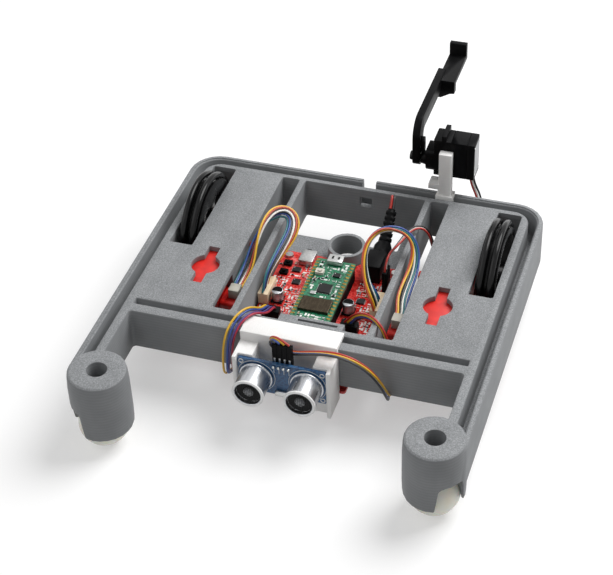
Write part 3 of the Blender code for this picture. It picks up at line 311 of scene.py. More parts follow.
def connect(tree, node, inputs):
    """Sets a node's inputs. An input takes a value, or links from a socket or a node's first output."""
    for key, value in inputs.items():
        if isinstance(value, bpy.types.Node):
            value = value.outputs[0]
        if isinstance(value, bpy.types.NodeSocket):
            tree.links.new(value, node.inputs[key])
        else:
            node.inputs[key].default_value = value


def add_node(tree, kind, inputs, **settings):
    """Adds a node with its settings and its inputs."""
    node = tree.nodes.new("ShaderNode" + kind)
    for key, value in settings.items():
        setattr(node, key, value)
    connect(tree, node, inputs)
    return node


def ramp(tree, fac, stops):
    """A colour ramp through (place, hex colour) stops."""
    node = add_node(tree, "ValToRGB", {"Fac": fac})
    elements = node.color_ramp.elements
    while len(elements) < len(stops):
        elements.new(0.5)
    for element, (place, hex_colour) in zip(elements, stops):
        element.position = place
        element.color = linear(hex_colour)
    return node.outputs["Color"]


def per_mm(size):
    """A noise scale whose features are about this many millimetres."""
    return 1 / (size * MM)


LAYER_MM = 1.8
WAVE_SHARE = 20             # the wave texture's scale is so many radians to one


def printed_plastic(name, dark, mid, light, roughness, see_through=0.0):
    """Layer-printed PLA: a felt-like grain on flat tops, and level lines on smooth upright walls.

    Real layers are 0.2 mm, too fine for the render, so they are drawn 1.8 mm apart.
    """
    material, tree, coords, shader = new_material(name)
    facing = add_node(tree, "SeparateXYZ",
                      {"Vector": add_node(tree, "NewGeometry", {}).outputs["Normal"]})
    flat = add_node(tree, "Math", {0: facing.outputs["Z"]}, operation="ABSOLUTE")
    top = add_node(tree, "MapRange",
                   {"Value": flat, "From Min": 0.5, "From Max": 0.95})
    grain = add_node(tree, "TexNoise",
                     {"Vector": coords, "Scale": per_mm(0.62), "Detail": 3.0, "Roughness": 0.85})
    cloud = add_node(tree, "TexNoise", {"Vector": coords, "Scale": per_mm(14.0), "Detail": 3.0})
    layers = add_node(tree, "TexWave",
                      {"Vector": coords, "Scale": math.tau / (WAVE_SHARE * LAYER_MM * MM),
                       "Distortion": 0.6, "Detail Scale": 1.0}, bands_direction="Z")
    walls = add_node(tree, "MapRange",
                     {"Value": layers.outputs["Fac"], "To Min": 0.485, "To Max": 0.515})
    marks = add_node(tree, "Mix", {"Factor": top, "A": walls,
                                             "B": grain}, data_type="FLOAT")
    blend = add_node(tree, "Mix", {"Factor": 0.12, "A": marks,
                                             "B": cloud}, data_type="FLOAT")
    bump = add_node(tree, "Bump",
                    {"Strength": 0.6, "Distance": 0.1 * MM, "Height": marks})
    connect(tree, shader, {
        "Base Color": ramp(tree, blend, [(0.3, dark), (0.5, mid), (0.7, light)]),
        "Normal": bump, "Roughness": roughness, "IOR": 1.46, "Specular IOR Level": 0.35,
        "Subsurface Weight": see_through, "Subsurface Scale": 2 * MM, "Subsurface Radius": (1, 1, 1)})
    return material


def moulded_plastic(name, base, shade, roughness, grain=0.5, bump_mm=0.03, gloss=0.5):
    """Injection moulded ABS: an even colour with a light spark-eroded texture."""
    material, tree, coords, shader = new_material(name)
    texture = add_node(tree, "TexNoise",
                       {"Vector": coords, "Scale": per_mm(grain), "Detail": 3.0})
    cloud = add_node(tree, "TexNoise", {"Vector": coords, "Scale": per_mm(6.0)})
    worn = add_node(tree, "MapRange",
                    {"Value": cloud, "To Min": roughness - 0.06, "To Max": roughness + 0.08})
    bump = add_node(tree, "Bump",
                    {"Strength": 0.4, "Distance": bump_mm * MM, "Height": texture})
    connect(tree, shader, {
        "Base Color": ramp(tree, cloud, [(0.35, shade), (0.65, base)]),
        "Roughness": worn, "Normal": bump, "IOR": 1.53,
        "Specular IOR Level": gloss})
    return material


def drawn_metal(name, base, shade, roughness, stretch=(1, 1, 12)):
    """Drawn or plated metal: bright, with fine marks along the way that it was drawn."""
    material, tree, coords, shader = new_material(name)
    stretched = add_node(tree, "Mapping", {"Vector": coords, "Scale": stretch})
    marks = add_node(tree, "TexNoise",
                     {"Vector": stretched, "Scale": per_mm(1.2), "Detail": 3.0})
    rough = add_node(tree, "MapRange",
                     {"Value": marks, "To Min": roughness - 0.05, "To Max": roughness + 0.1})
    connect(tree, shader, {"Base Color": ramp(tree, marks, [(0.3, shade), (0.7, base)]),
                           "Roughness": rough, "Metallic": 1.0})
    return material


def solder_mask(name, base, trace, roughness=0.35):
    """A circuit board's lacquer: copper tracks 2.4 mm apart show through it as paler lines."""
    material, tree, coords, shader = new_material(name)
    tracks = add_node(tree, "TexVoronoi",
                      {"Vector": coords, "Scale": per_mm(2.4), "Randomness": 0.85},
                      feature="DISTANCE_TO_EDGE", distance="EUCLIDEAN")
    bump = add_node(tree, "Bump",
                    {"Strength": 0.3, "Distance": 0.04 * MM, "Height": tracks})
    connect(tree, shader, {
        "Base Color": ramp(tree, tracks, [(0.06, trace), (0.16, base)]),
        "Normal": bump, "Roughness": roughness, "Coat Weight": 0.2,
        "Coat Roughness": 0.15})
    return material


def tyre_rubber(name):
    """Nitrile ring rubber: near black, smooth and shiny, dusty along the tread."""
    material, tree, coords, shader = new_material(name)
    dust = add_node(tree, "TexNoise", {"Vector": coords, "Scale": per_mm(3.0), "Detail": 5.0})
    rough = add_node(tree, "MapRange",
                     {"Value": dust, "To Min": 0.1, "To Max": 0.3})
    connect(tree, shader, {
        "Base Color": ramp(tree, dust, [(0.45, "#050506"), (0.85, "#131314")]),
        "Roughness": rough, "IOR": 1.52, "Specular IOR Level": 0.2})
    return material


def ball_plastic(name):
    """Polished acetal: warm cream, slightly see-through at the surface."""
    material, tree, coords, shader = new_material(name)
    cloud = add_node(tree, "TexNoise", {"Vector": coords, "Scale": per_mm(8.0)})
    connect(tree, shader, {
        "Base Color": ramp(tree, cloud, [(0.3, "#F7F3E0"), (0.7, "#FCFAEF")]),
        "Roughness": 0.22, "IOR": 1.48, "Subsurface Weight": 0.25, "Subsurface Scale": 2 * MM})
    return material


def wire_skin(name, base):
    """PVC wire insulation: even colour, satin, faintly mottled along its length."""
    material, tree, coords, shader = new_material(name)
    cloud = add_node(tree, "TexNoise", {"Vector": coords, "Scale": per_mm(2.5), "Detail": 2.0})
    tone = add_node(tree, "MapRange",
                    {"Value": cloud, "To Min": 0.82, "To Max": 1.12})
    colour = add_node(tree, "HueSaturation",
                      {"Value": tone, "Color": linear(base)})
    connect(tree, shader, {"Base Color": colour, "Roughness": 0.38, "IOR": 1.54})
    return material


WIRES = {
    "rust": "#B4492A", "crimson": "#A8203C", "red": "#B3281E", "yellow": "#E8B62F", "white": "#F1EFE8",
    "black": "#141518", "blue": "#2B4A93", "teal": "#1F6A72", "violet": "#4B3A78"}

# Each look: what makes it, and that function's values in their order
RECIPES = {
    "bracket": (printed_plastic, "printed_pla_white", "#ECEBE8", "#F4F3F1", "#FAF9F8", 0.5, 0.35),
    "black": (moulded_plastic, "moulded_abs_black", "#0E0E0F", "#080809", 0.36, 0.5, 0.03, 0.06),
    "wheel": (moulded_plastic, "moulded_wheel_black", "#101011", "#080809", 0.25, 0.5, 0.03, 0.12),
    "red": (moulded_plastic, "moulded_abs_red", "#E0261C", "#C81B14", 0.42, 0.9, 0.06),
    "white": (moulded_plastic, "moulded_nylon_white", "#D9D5CA", "#C6C1B4", 0.45),
    "cream": (moulded_plastic, "moulded_nylon_cream", "#E6D3B4", "#D8C19E", 0.45),
    "holder": (moulded_plastic, "moulded_holder_black", "#161617", "#0E0E0F", 0.5, 0.5, 0.03, 0.25),
    "rubber": (tyre_rubber, "ring_rubber_black"),
    "ball": (ball_plastic, "polished_acetal"),
    "metal": (drawn_metal, "drawn_aluminium", "#C6C8CB", "#ACAEB2", 0.27, (1, 0.08, 1)),
    "tin": (drawn_metal, "tinned_steel", "#C8C8C6", "#B0B1B1", 0.3, (1, 1, 1)),
    "shield": (drawn_metal, "nickel_shield", "#50473A", "#3D352B", 0.24, (1, 0.3, 1)),
    "rim": (moulded_plastic, "can_rim_white", "#FDFDFC", "#F4F4F3", 0.3, 0.6, 0.01),
    "socket": (moulded_plastic, "moulded_socket_white", "#B5B1A6", "#A29E93", 0.45),
    "can": (drawn_metal, "brushed_capacitor_can", "#B9BBBE", "#9C9EA1", 0.42, (1, 1, 0.1)),
    "gold": (drawn_metal, "gold_flash", "#A88B48", "#7F6632", 0.4, (1, 1, 1)),
    # The screen's own near-black, also used on the sonar cans' floors as painted shade.
    "mesh": (moulded_plastic, "woven_screen_and_painted_shade", "#121213", "#0A0A0A", 0.4, 0.5, 0.03, 0.2),
    "red_board": (solder_mask, "red_solder_mask", "#C01815", "#E2433C"),
    "green_board": (solder_mask, "green_solder_mask", "#0A5537", "#1A7A55"),
    "blue_board": (solder_mask, "blue_solder_mask", "#16406A", "#235682"),
    "epoxy": (moulded_plastic, "chip_epoxy", "#161718", "#0E0F10", 0.4, 0.3, 0.02, 0.25),
    "ceramic": (moulded_plastic, "chip_ceramic", "#A7855C", "#8E6F4A", 0.5, 0.3, 0.01),
    "legend": (moulded_plastic, "board_legend_white", "#F0F0EC", "#DADAD6", 0.55, 0.4, 0.01),
    "label": (moulded_plastic, "bare_foil_label", "#A6A8AA", "#8F9193", 0.35, 2.0, 0.01),
    **{colour + "_wire": (wire_skin, "wire_" + colour, skin) for colour, skin in WIRES.items()},
    "wrap": (moulded_plastic, "shrink_wrap_grey", "#33373B", "#24272A", 0.2, 4.0, 0.02),
}


class Looks(dict):
    """The materials by their short names, each made when it is first asked for."""
    def __missing__(self, name):
        maker, *settings = RECIPES[name]
        self[name] = maker(*settings)
        return self[name]


look = Looks()


# ---------------------------------------------------------------- chassis and drive

def finish_chassis():
    sizes = bpy.context.scene.robot_finish
    grey = printed_plastic("printed_pla_grey", "#606365", "#858789", "#AAACAE", sizes.print_roughness)
    finished("chassis", grey, sizes.edge_mm)
    finish_all("bracket", {"sonar_bracket": 0.3, "servo_bracket": 0.3})


def finish_drive():
    for side in ("left", "right"):
        finish_all("red", {side + "_gearmotor": 0.3, side + "_encoder_cover": 0.0}, 40)
        finish_all("socket", {side + "_motor_socket": 0.2})
        finish_all("tin", {side + "_axle": 0.2})
        finish_all("wheel", {side + "_wheel": 0.2}, 40)
        for place in ("inner", "outer"):
            make_tyre(f"{side}_{place}_tyre")
        make_ball(side)


# Millimetres
TYRE_SEAT = 0.3             # how far a tyre's flattened inside lies out from its round one
PARTING_LINE = 0.06         # how deep a ball's parting line is


def make_tyre(node):
    """A round tyre, flattened inside, where it is stretched on its wheel."""
    low, high = node_box(node)
    centre = (low + high) / 2
    section = (high.x - low.x) / 2
    outside = (high.z - low.z) / 2
    tyre = ring(node + "_ring", centre, outside - section, section, look["rubber"], "X", 96)
    seat = (outside - 2 * section + TYRE_SEAT) * MM
    for vertex in tyre.data.vertices:
        out = vertex.co - at(*centre)
        out.x = 0
        if out.length < seat:
            vertex.co += out.normalized() * (seat - out.length)
    belong(tyre, node, node)


def make_ball(side):
    """A caster ball with the faint parting line that moulding leaves."""
    node = side + "_caster_ball"
    low, high = node_box(node)
    middle = at(*((low + high) / 2))
    deselect()
    bpy.ops.mesh.primitive_uv_sphere_add(segments=64, ring_count=32, radius=(high.x - low.x) / 2 * MM,
                                         location=middle)
    ball = settle(bpy.context.object)
    ball.name = side + "_ball_round"
    for vertex in ball.data.vertices:
        if abs(vertex.co.z - middle.z) < 0.02 * MM:
            vertex.co -= (vertex.co - middle).normalized() * PARTING_LINE * MM
    take(ball)
    bpy.ops.object.shade_smooth()
    belong(paint(ball, look["ball"]), node, node)


# ---------------------------------------------------------------- boards

# Millimetres
STAND = 0.3                 # how far the boards' larger parts stand above their board
FLUSH = 0.02                # faces further off than this aren't the board's own
BOARD_THICKNESS = 1.6
PIN_PITCH = 2.54
CAP_SHARE = 0.22            # of a small part's length, for each of its tinned caps
CAP_LIP = 0.04              # how far a small part's tinned caps stand out from its body
LEG_OUT = 0.5               # how far a chip's legs reach out from its body
LEG_UNDER = 0.2             # and in under it
MARK_HEIGHT = 0.04
WANDER = 0.3                # how far a small part lies off its place in the rows
CLEARANCE = 1.3             # how far the small parts' middles keep from what stands on the board

# How often each kind of small part is drawn
SHARES = (0.13, 0.07, 0.06, 0.36, 0.1, 0.28)


def small_part(name, size, body, z):
    """A surface part: a block of its body material with a tinned cap on each end."""
    length, width, height = size
    cap = length * CAP_SHARE
    end = length / 2 - cap * 0.9
    side = width / 2 - CAP_LIP
    core = slab(name, (-end, -side, z), (end, side, z + height - CAP_LIP), body, 0.03)
    caps = [slab(name, (start, -width / 2, z), (start + cap, width / 2, z + height), look["tin"], 0.04)
            for start in (-length / 2, length / 2 - cap)]
    return join(name, [core, *caps])


def legged_chip(name, centre, size, legs, both_ways=False):
    """A chip with a row of tinned legs on two or four sides, and a printed dot at pin 1."""
    x, y, z = centre
    width, depth, height = size
    left = x - width / 2
    front = y - depth / 2
    body = slab(name, (left, front, z + 0.08), (left + width, front + depth, z + height),
                look["epoxy"], 0.08)
    edit_faces(body, lambda face: face.normal.z > FACING and face.area > 0.3 * width * depth * MM * MM)
    bpy.ops.mesh.inset(thickness=0.12 * MM, depth=-0.02 * MM)
    leave_edit()
    pitch = depth * 0.86 / legs
    half = pitch * 0.3
    top = z + 0.25
    reach = LEG_OUT - LEG_UNDER
    leg = slab(name, (left - LEG_OUT, y - half, z), (left + LEG_UNDER, y + half, top), look["tin"], 0.03)
    pieces = copies(leg, [(across, row, 0) for across in (0, width + reach) for row in evenly(legs, pitch)])
    if both_ways:
        leg = slab(name, (x - half, front - LEG_OUT, z), (x + half, front + LEG_UNDER, top),
                   look["tin"], 0.03)
        pieces += copies(leg, [(row, across, 0) for across in (0, depth + reach)
                               for row in evenly(legs, pitch)])
    dot = pillar(name, (left + 0.7, front + depth - 0.7, z + height - 0.03), 0.25, 0.04,
                 look["legend"], vertices=12)
    return join(name, [body, *pieces, dot])


def scatter_parts(name, areas, keep_out, z, pitch, seed):
    """Rows of small surface parts, solder pads and legend marks that fill a board's free places."""
    dice = random.Random(seed)
    kinds = [
        small_part(name, (1.7, 0.9, 0.5), look["epoxy"], z),
        small_part(name, (1.7, 0.9, 0.8), look["ceramic"], z),
        small_part(name, (2.2, 1.3, 0.6), look["epoxy"], z),
        slab(name, (-0.75, -0.15, z), (0.75, 0.15, z + MARK_HEIGHT), look["legend"]),
        slab(name, (-0.45, -0.45, z), (0.45, 0.45, z + 0.05), look["tin"]),
        slab(name, (-1.0, -0.5, z), (1.0, 0.5, z + MARK_HEIGHT), look["legend"]),
    ]
    taken = [(a - CLEARANCE, b - CLEARANCE, c + CLEARANCE, d + CLEARANCE) for a, b, c, d in keep_out]
    chosen = [[] for _ in kinds]
    for x_low, y_low, x_high, y_high in areas:
        for column in range(int((x_high - x_low) / pitch) + 1):
            for row in range(int((y_high - y_low) / pitch) + 1):
                x = x_low + column * pitch + dice.uniform(-WANDER, WANDER)
                y = y_low + row * pitch + dice.uniform(-WANDER, WANDER)
                turn = dice.choice((0, math.pi / 2))
                kind = dice.choices(range(len(kinds)), SHARES)[0]
                if not any(a < x < c and b < y < d for a, b, c, d in taken):
                    chosen[kind].append((x, y, 0, turn))
    pieces = []
    for kind, places in zip(kinds, chosen):
        pieces += copies(kind, places)
    return join(name, pieces)


def footprint(node):
    low, high = node_box(node)
    return low.x, low.y, high.x, high.y


SCREW_X = 29.0
SCREW_YS = (-70.0, -9.0)
SCREW_REACH = 3.0           # which faces, round a screw's middle, are the screw
LINE_SCREW_X = 15.0
LINE_SCREW_REACH = 2.6

# Places on the two boards, as x and y of the low and the high corner, in millimetres
CONTROLLER_FREE = [(-31.0, -72.5, -12.5, -7.0), (12.5, -72.5, 31.0, -7.0)]
CONTROLLER_TAKEN = [
    (-29.9, -25.0, -25.3, -13.6), (-31.5, -72.5, -26.5, -67.5), (26.5, -72.5, 31.5, -67.5),
    (-31.5, -11.5, -26.5, -6.5), (26.5, -11.5, 31.5, -6.5), (-12, -74, 12, 4),
    (-24.5, -22.0, -19.0, -17.0), (-21.6, -31.5, -16.2, -26.3), (15.2, -37.6, 20.6, -32.4),
    (-24.5, -12.6, -17.0, -6.8)]
PROCESSOR_FREE = [(-6.6, -66.0, 6.8, -19.5)]
PROCESSOR_TAKEN = [
    (-8.3, -60.2, 8.3, -49.4), (-3.9, -45.6, 5.1, -36.4), (1.2, -31.6, 6.0, -27.2),
    (-6.6, -47.2, -1.6, -43.8), (-8.6, -31.8, -2.6, -26.2)]

# Each node's edge on the controller board, in millimetres, by its look
CONTROLLER_EDGES = {
    "black": {"line_sensor_socket": 0.2, "sonar_socket": 0.2, "reset_button": 0.1, "user_button": 0.1,
              "battery_jack": 0.25, "battery_plug": 0.0, "servo_plug": 0.15, "switch_slider": 0.1},
    "tin": {"power_switch": 0.2},
}
# What stands on the controller board
STANDING = ("left_motor_plug", "right_motor_plug", "line_sensor_socket", "sonar_socket", "left_capacitor",
            "right_capacitor", "power_switch", "battery_jack", "servo_plug")


def finish_controller():
    board = finished("controller_board", look["red_board"], 0.0, 35)
    top = node_box("left_motor_plug")[0].z - STAND
    paint(board, look["red_board"], look["black"], look["tin"])
    paint_faces(board, lambda middle, face: middle.z > top + FLUSH and 1 + is_screw(middle))
    keep_out = [footprint(node) for node in STANDING] + CONTROLLER_TAKEN
    parts = scatter_parts("controller_small_parts", CONTROLLER_FREE, keep_out, top, 1.75, 7)
    chips = [legged_chip("driver_chip_1", (-21.7, -19.4, top), (4.2, 3.6, 1.0), 5),
             legged_chip("driver_chip_2", (-18.9, -28.9, top), (3.9, 3.9, 1.0), 5),
             legged_chip("regulator_chip", (17.9, -35.0, top), (4.0, 3.8, 1.0), 4)]
    belong(join("controller_parts", [parts, *chips]), "controller_board")
    for side in ("left", "right"):
        finish_motor_plug(side + "_motor_plug")
    for skin, edges in CONTROLLER_EDGES.items():
        finish_all(skin, edges)
    for side in ("left", "right"):
        finish_capacitor(side + "_capacitor")


def is_screw(middle):
    """Whether a face belongs to one of the controller board's four screws."""
    return (abs(abs(middle.x) - SCREW_X) < SCREW_REACH
            and any(abs(middle.y - screw_y) < SCREW_REACH for screw_y in SCREW_YS))


def finish_motor_plug(node):
    """A six-way crimp plug: a cream housing with a window for each way on both sides."""
    finished(node, look["cream"], 0.25)
    low, high = node_box(node)
    y = (low.y + high.y) / 2
    window = slab(node + "_windows", (low.x - 0.04, y - 0.5, low.z + 2.2),
                  (low.x + 0.1, y + 0.5, low.z + 4.4), look["tin"])
    windows = copies(window, [(across, row, 0) for across in (0, high.x - low.x - 0.06)
                              for row in evenly(6, 2.0)])
    belong(join(node + "_windows", windows), node)


WAIST_LOW, WAIST_HIGH = 1.3, 2.0
WAIST_SHARE = 0.04          # how much narrower a capacitor's can is at its waist


def finish_capacitor(node):
    """An electrolytic can: drawn aluminium on a black plate, with a black sector on its top."""
    low, high = node_box(node)
    x, y, _ = (low + high) / 2
    radius = (high.x - low.x) / 2
    plate = slab(node + "_plate", low, (high.x, high.y, low.z + 0.9), look["black"], 0.3)
    can = pillar(node + "_can", (x, y, low.z + 0.8), radius - 0.15, high.z - low.z - 0.85,
                 look["can"], vertices=48, round_edges=0.35)
    for vertex in can.data.vertices:
        out = vertex.co - at(x, y, 0)
        if WAIST_LOW < out.z / MM - low.z < WAIST_HIGH:
            vertex.co -= Vector((out.x, out.y, 0)) * WAIST_SHARE
    mark = pillar(node + "_mark", (x, y, high.z - 0.1), radius - 0.55, 0.09, look["black"], vertices=48)
    edit_all(mark)
    bpy.ops.mesh.bisect(plane_co=at(x, y - 1.0, 0), plane_no=(0, -1, 0), use_fill=True, clear_outer=True)
    leave_edit()
    belong(join(node + "_round", [can, plate, mark]), node, node)


def finish_processor():
    card = finished("processor_board", look["green_board"], 0.0, 35)
    low, high = node_box("processor_board")
    top = node_box("usb_socket")[0].z - STAND
    paint(card, look["green_board"], look["white"])
    paint_faces(card, lambda middle, face: middle.z > top + FLUSH)
    pad = slab("pads", (low.x, -0.8, top), (low.x + 1.5, 0.4, top + 0.05), look["gold"], 0.02)
    solder = pillar("solder", (low.x + 1.6, -0.2, top), 0.42, 0.3, look["gold"], "Z", 16, 0.1)
    pad = join("processor_pad", [pad, solder])
    steps = []
    for row in evenly(20, PIN_PITCH):
        y = (low.y + high.y) / 2 + row
        steps += [(0, y, 0), (high.x - low.x - 2.35, y, 0, math.pi)]
    pads = join("processor_pads", copies(pad, steps))
    shield = slab("radio_shield", (-8.0, -59.8, top), (8.0, -49.8, top + 1.6), look["shield"], 0.25)
    edit_faces(shield, lambda face: face.normal.z > FACING and face.area > WIDE_FACE)
    bpy.ops.mesh.inset(thickness=0.7 * MM, depth=0)
    bpy.ops.mesh.inset(thickness=0.12 * MM, depth=-0.1 * MM)
    leave_edit()
    chip = legged_chip("processor_chip", (0.6, -41.0, top), (6.8, 6.8, 0.9), 10, True)
    flash = legged_chip("memory_chip", (3.6, -29.4, top), (3.6, 3.0, 0.9), 4)
    crystal = slab("crystal", (-5.6, -46.6, top), (-2.6, -44.4, top + 0.8), look["tin"], 0.15)
    keep_out = [*PROCESSOR_TAKEN, footprint("usb_socket")]
    parts = scatter_parts("processor_small_parts", PROCESSOR_FREE, keep_out, top, 1.9, 11)
    belong(join("processor_parts", [pads, shield, chip, flash, crystal, parts]), "processor_board")
    finish_all("white", {"boot_button": 0.1})
    finish_usb()


def finish_usb():
    """The USB shell, with the two spring windows in its top."""
    finish_all("tin", {"usb_socket": 0.2})
    low, high = node_box("usb_socket")
    x, y, _ = (low + high) / 2
    window = slab("window", (x - 2.1, y - 0.9, high.z - 0.05), (x - 1.1, y + 1.3, high.z + 0.04),
                  look["black"])
    belong(join("usb_windows", copies(window, [(0, 0, 0), (3.2, 0, 0)])), "usb_socket")


CELL_CAP = 1.4              # how far the bare steel of a cell's ends reaches along it, in millimetres


def finish_battery():
    finish_all("holder", {"battery_holder": 0.3})
    for index in range(4):
        node = f"battery_cell_{index + 1}"
        cell = finished(node, look["wrap"], 0.2, 40)
        low, high = node_box(node)
        paint(cell, look["wrap"], look["tin"])
        paint_faces(cell, lambda middle, face: not low.y + CELL_CAP <= middle.y <= high.y - CELL_CAP)


def finish_line_sensor():
    board = finished("line_sensor_board", look["red_board"], 0.0, 35)
    lowest = node_box("line_sensor_board")[0].z
    top = node_box("line_sensor_plug")[0].z - STAND
    paint(board, look["red_board"], look["black"], look["tin"])
    paint_faces(board, lambda middle, face: not -FLUSH <= top - middle.z <= BOARD_THICKNESS + FLUSH
                and 1 + (abs(abs(middle.x) - LINE_SCREW_X) < LINE_SCREW_REACH))
    finish_all("white", {"line_sensor_plug": 0.2})
    lens = pillar("sensor_lens", (0, -84.5, lowest - 0.05), 0.9, 0.2, look["legend"], vertices=24,
                  round_edges=0.05)
    steps = [(x + shift, 0, 0) for x in (-8.4, 0, 8.4) for shift in (-1.1, 1.1)]
    belong(join("line_sensor_lenses", copies(lens, steps)), "line_sensor_board")


# ---------------------------------------------------------------- sonar and servo

def sonar_can(node):
    """An ultrasonic transducer: a drawn can with a rolled rim, a cone and a wire mesh over it; the can's
    floor inside is painted near-black as painted shade.
    """
    low, high = node_box(node)
    x, _, z = (low + high) / 2
    radius = (high.x - low.x) / 2 - 0.5
    front = low.y
    base = pillar(node + "_base", (x, high.y, z), radius + 0.5, 1.0, look["metal"], "Y", 64, 0.25)
    can = pillar(node + "_can", (x, high.y - 0.5, z), radius - 0.1, high.y - front - 0.5, look["metal"],
                 "Y", 64)
    edit_faces(can, lambda face: face.normal.y < -FACING)
    bpy.ops.mesh.inset(thickness=1.25 * MM, depth=0)
    bpy.ops.mesh.extrude_region_move(TRANSFORM_OT_translate={"value": (0, 2.4 * MM, 0)})
    leave_edit()
    break_edges(can, 0.2)
    # The can's floor inside, behind the screen, gets the screen's near-black: painted shade of the deep can.
    paint(can, look["metal"], look["mesh"])
    paint_faces(can, lambda middle, face: middle.y > front + 2.2 and face.normal.y < -FACING
                and face.area > WIDE_FACE)
    rim = ring(node + "_rim", (x, front + 0.55, z), radius - 0.5, 0.72, look["rim"], "Y", 72)
    cone = pillar(node + "_cone", (x, front + 2.55, z), 2.6, 1.1, look["can"], "Y", 40)
    edit_faces(cone, lambda face: face.normal.y < -FACING)
    bpy.ops.mesh.inset(thickness=0.3 * MM, depth=0)
    bpy.ops.mesh.inset(thickness=1.8 * MM, depth=-0.8 * MM)
    leave_edit()
    belong(join(node + "_round", [can, base, rim, cone]), node, node)
    mesh_screen(node, (x, front + 1.0, z), radius - 1.2)


# Millimetres
SCREEN_PITCH = 0.9
SCREEN_WIRE = 0.09          # half the width of a wire


def mesh_screen(node, centre, radius):
    """The woven screen in the can's mouth: wires 0.9 mm apart, about twice as coarse as real ones."""
    x, y, z = centre
    wires = []
    for offset in evenly(2 * int(radius / SCREEN_PITCH) + 1, SCREEN_PITCH):
        half = math.sqrt(max(radius * radius - offset * offset, 0.1))
        low, high = offset - SCREEN_WIRE, offset + SCREEN_WIRE
        wires += [slab(node, (x + low, y, z - half), (x + high, y + 0.15, z + half), look["mesh"]),
                  slab(node, (x - half, y + 0.2, z + low), (x + half, y + 0.35, z + high), look["mesh"])]
    belong(join(node + "_screen", wires), node)


def finish_sonar():
    board = finished("sonar_board", look["blue_board"], 0.0, 35)
    low, high = node_box("sonar_board")
    back = node_box("sonar_plug")[0].y - STAND
    paint(board, look["blue_board"], look["black"])
    paint_faces(board, lambda middle, face: middle.y > back + FLUSH)
    for node in ("sonar_transmitter", "sonar_receiver"):
        sonar_can(node)
    x, _, z = (low + high) / 2
    face = low.y - 0.02
    pieces = []
    for side in (-1, 1):
        pieces.append(ring("sonar_print_ring", (x + side * 13, face, z), 9.5, 0.13, look["legend"], "Y"))
        pieces += [ring("sonar_hole_ring", (x + side * 20.6, face, edge), 1.1, 0.25, look["tin"], "Y", 32)
                   for edge in (low.z + 1.9, high.z - 1.9)]
    ways = [(place, 0, 0) for place in evenly(4, PIN_PITCH)]
    joint = pillar("solder", (x, low.y, high.z - 1.7), 0.75, 1.3, look["tin"], "Y", 20, 0.35)
    mark = slab("mark", (x - 0.12, low.y - 0.04, high.z - 6.0), (x + 0.12, low.y, high.z - 3.2),
                look["legend"])
    crystal = slab("crystal", (x - 3.4, low.y - 2.6, low.z + 0.8), (x + 3.4, low.y, low.z + 3.6),
                   look["tin"], 0.9)
    pieces += [*copies(joint, ways), *copies(mark, ways), crystal]
    belong(join("sonar_board_parts", pieces), "sonar_board")
    finish_ribbed_plug("sonar_plug")


def finish_ribbed_plug(node):
    """Four one-way crimp housings side by side, with a latch window in each."""
    low, high = node_box(node)
    ways = 4
    width = (high.x - low.x) / ways
    housing = slab(node, (low.x + 0.05, low.y, low.z), (low.x + width - 0.05, high.y, high.z), look["black"],
                   0.2)
    window = slab(node, (low.x + width / 2 - 0.45, low.y - 0.03, low.z + 3.0),
                  (low.x + width / 2 + 0.45, low.y + 0.08, low.z + 5.6), look["tin"])
    way = join(node, [housing, window])
    belong(join(node + "_ways", copies(way, [(width * index, 0, 0) for index in range(ways)])), node, node)


# Heights on the servo and its places along X, in millimetres
SERVO_SEAMS = (44.6, 53.2)
LABEL_LOW, LABEL_HIGH = 57.6, 76.0
BOOT_LOW, BOOT_HIGH = 54.9, 56.4
SCREW_SPREAD = (8.8, 16.4)


def seam(piece, place, width, depth):
    """A groove round a piece, where two shells of its case meet: its place is along X."""
    edit_all(piece)
    for edge in (place - width / 2, place + width / 2):
        bpy.ops.mesh.select_all(action="SELECT")
        bpy.ops.mesh.bisect(plane_co=at(edge, 0, 0), plane_no=(1, 0, 0))
    leave_edit()
    edit_faces(piece, lambda face: abs(face.center.x / MM - place) < width * 0.45
               and abs(face.normal.x) < 0.5)
    bpy.ops.mesh.extrude_region_shrink_fatten(TRANSFORM_OT_shrink_fatten={"value": -depth * MM})
    leave_edit()


def finish_servo():
    case = finished("servo_case", look["black"], 0.3)
    for place in SERVO_SEAMS:
        seam(case, place, 0.3, 0.2)
    finish_all("tin", {"servo_shaft": 0.1})
    finish_all("black", {"servo_horn": 0.25, "lift_arm": 0.35})
    finish_all("epoxy", {"horn_screw": 0.15})
    low, high = node_box("servo_case")
    label = slab("servo_label", (high.x - 0.02, low.y + 0.9, LABEL_LOW),
                 (high.x + 0.08, high.y - 0.9, LABEL_HIGH), look["label"], 0.03)
    boot = slab("servo_wire_boot", (high.x - 3.8, low.y + 3.4, BOOT_LOW),
                (high.x - 0.6, high.y - 3.4, BOOT_HIGH), look["black"], 0.4)
    screw = pillar("servo_screw", (high.x - 0.1, low.y + 1.5, LABEL_LOW + 1.0), 0.8, 0.4, look["tin"],
                   "X", 20, 0.15)
    across, up = SCREW_SPREAD
    screws = copies(screw, [(0, y, z) for y in (0, across) for z in (0, up)])
    belong(join("servo_details", [label, boot, *screws]), "servo_case")


# ---------------------------------------------------------------- wires

PLUG_TOP = 34.3
SOCKET_TOP = 33.6

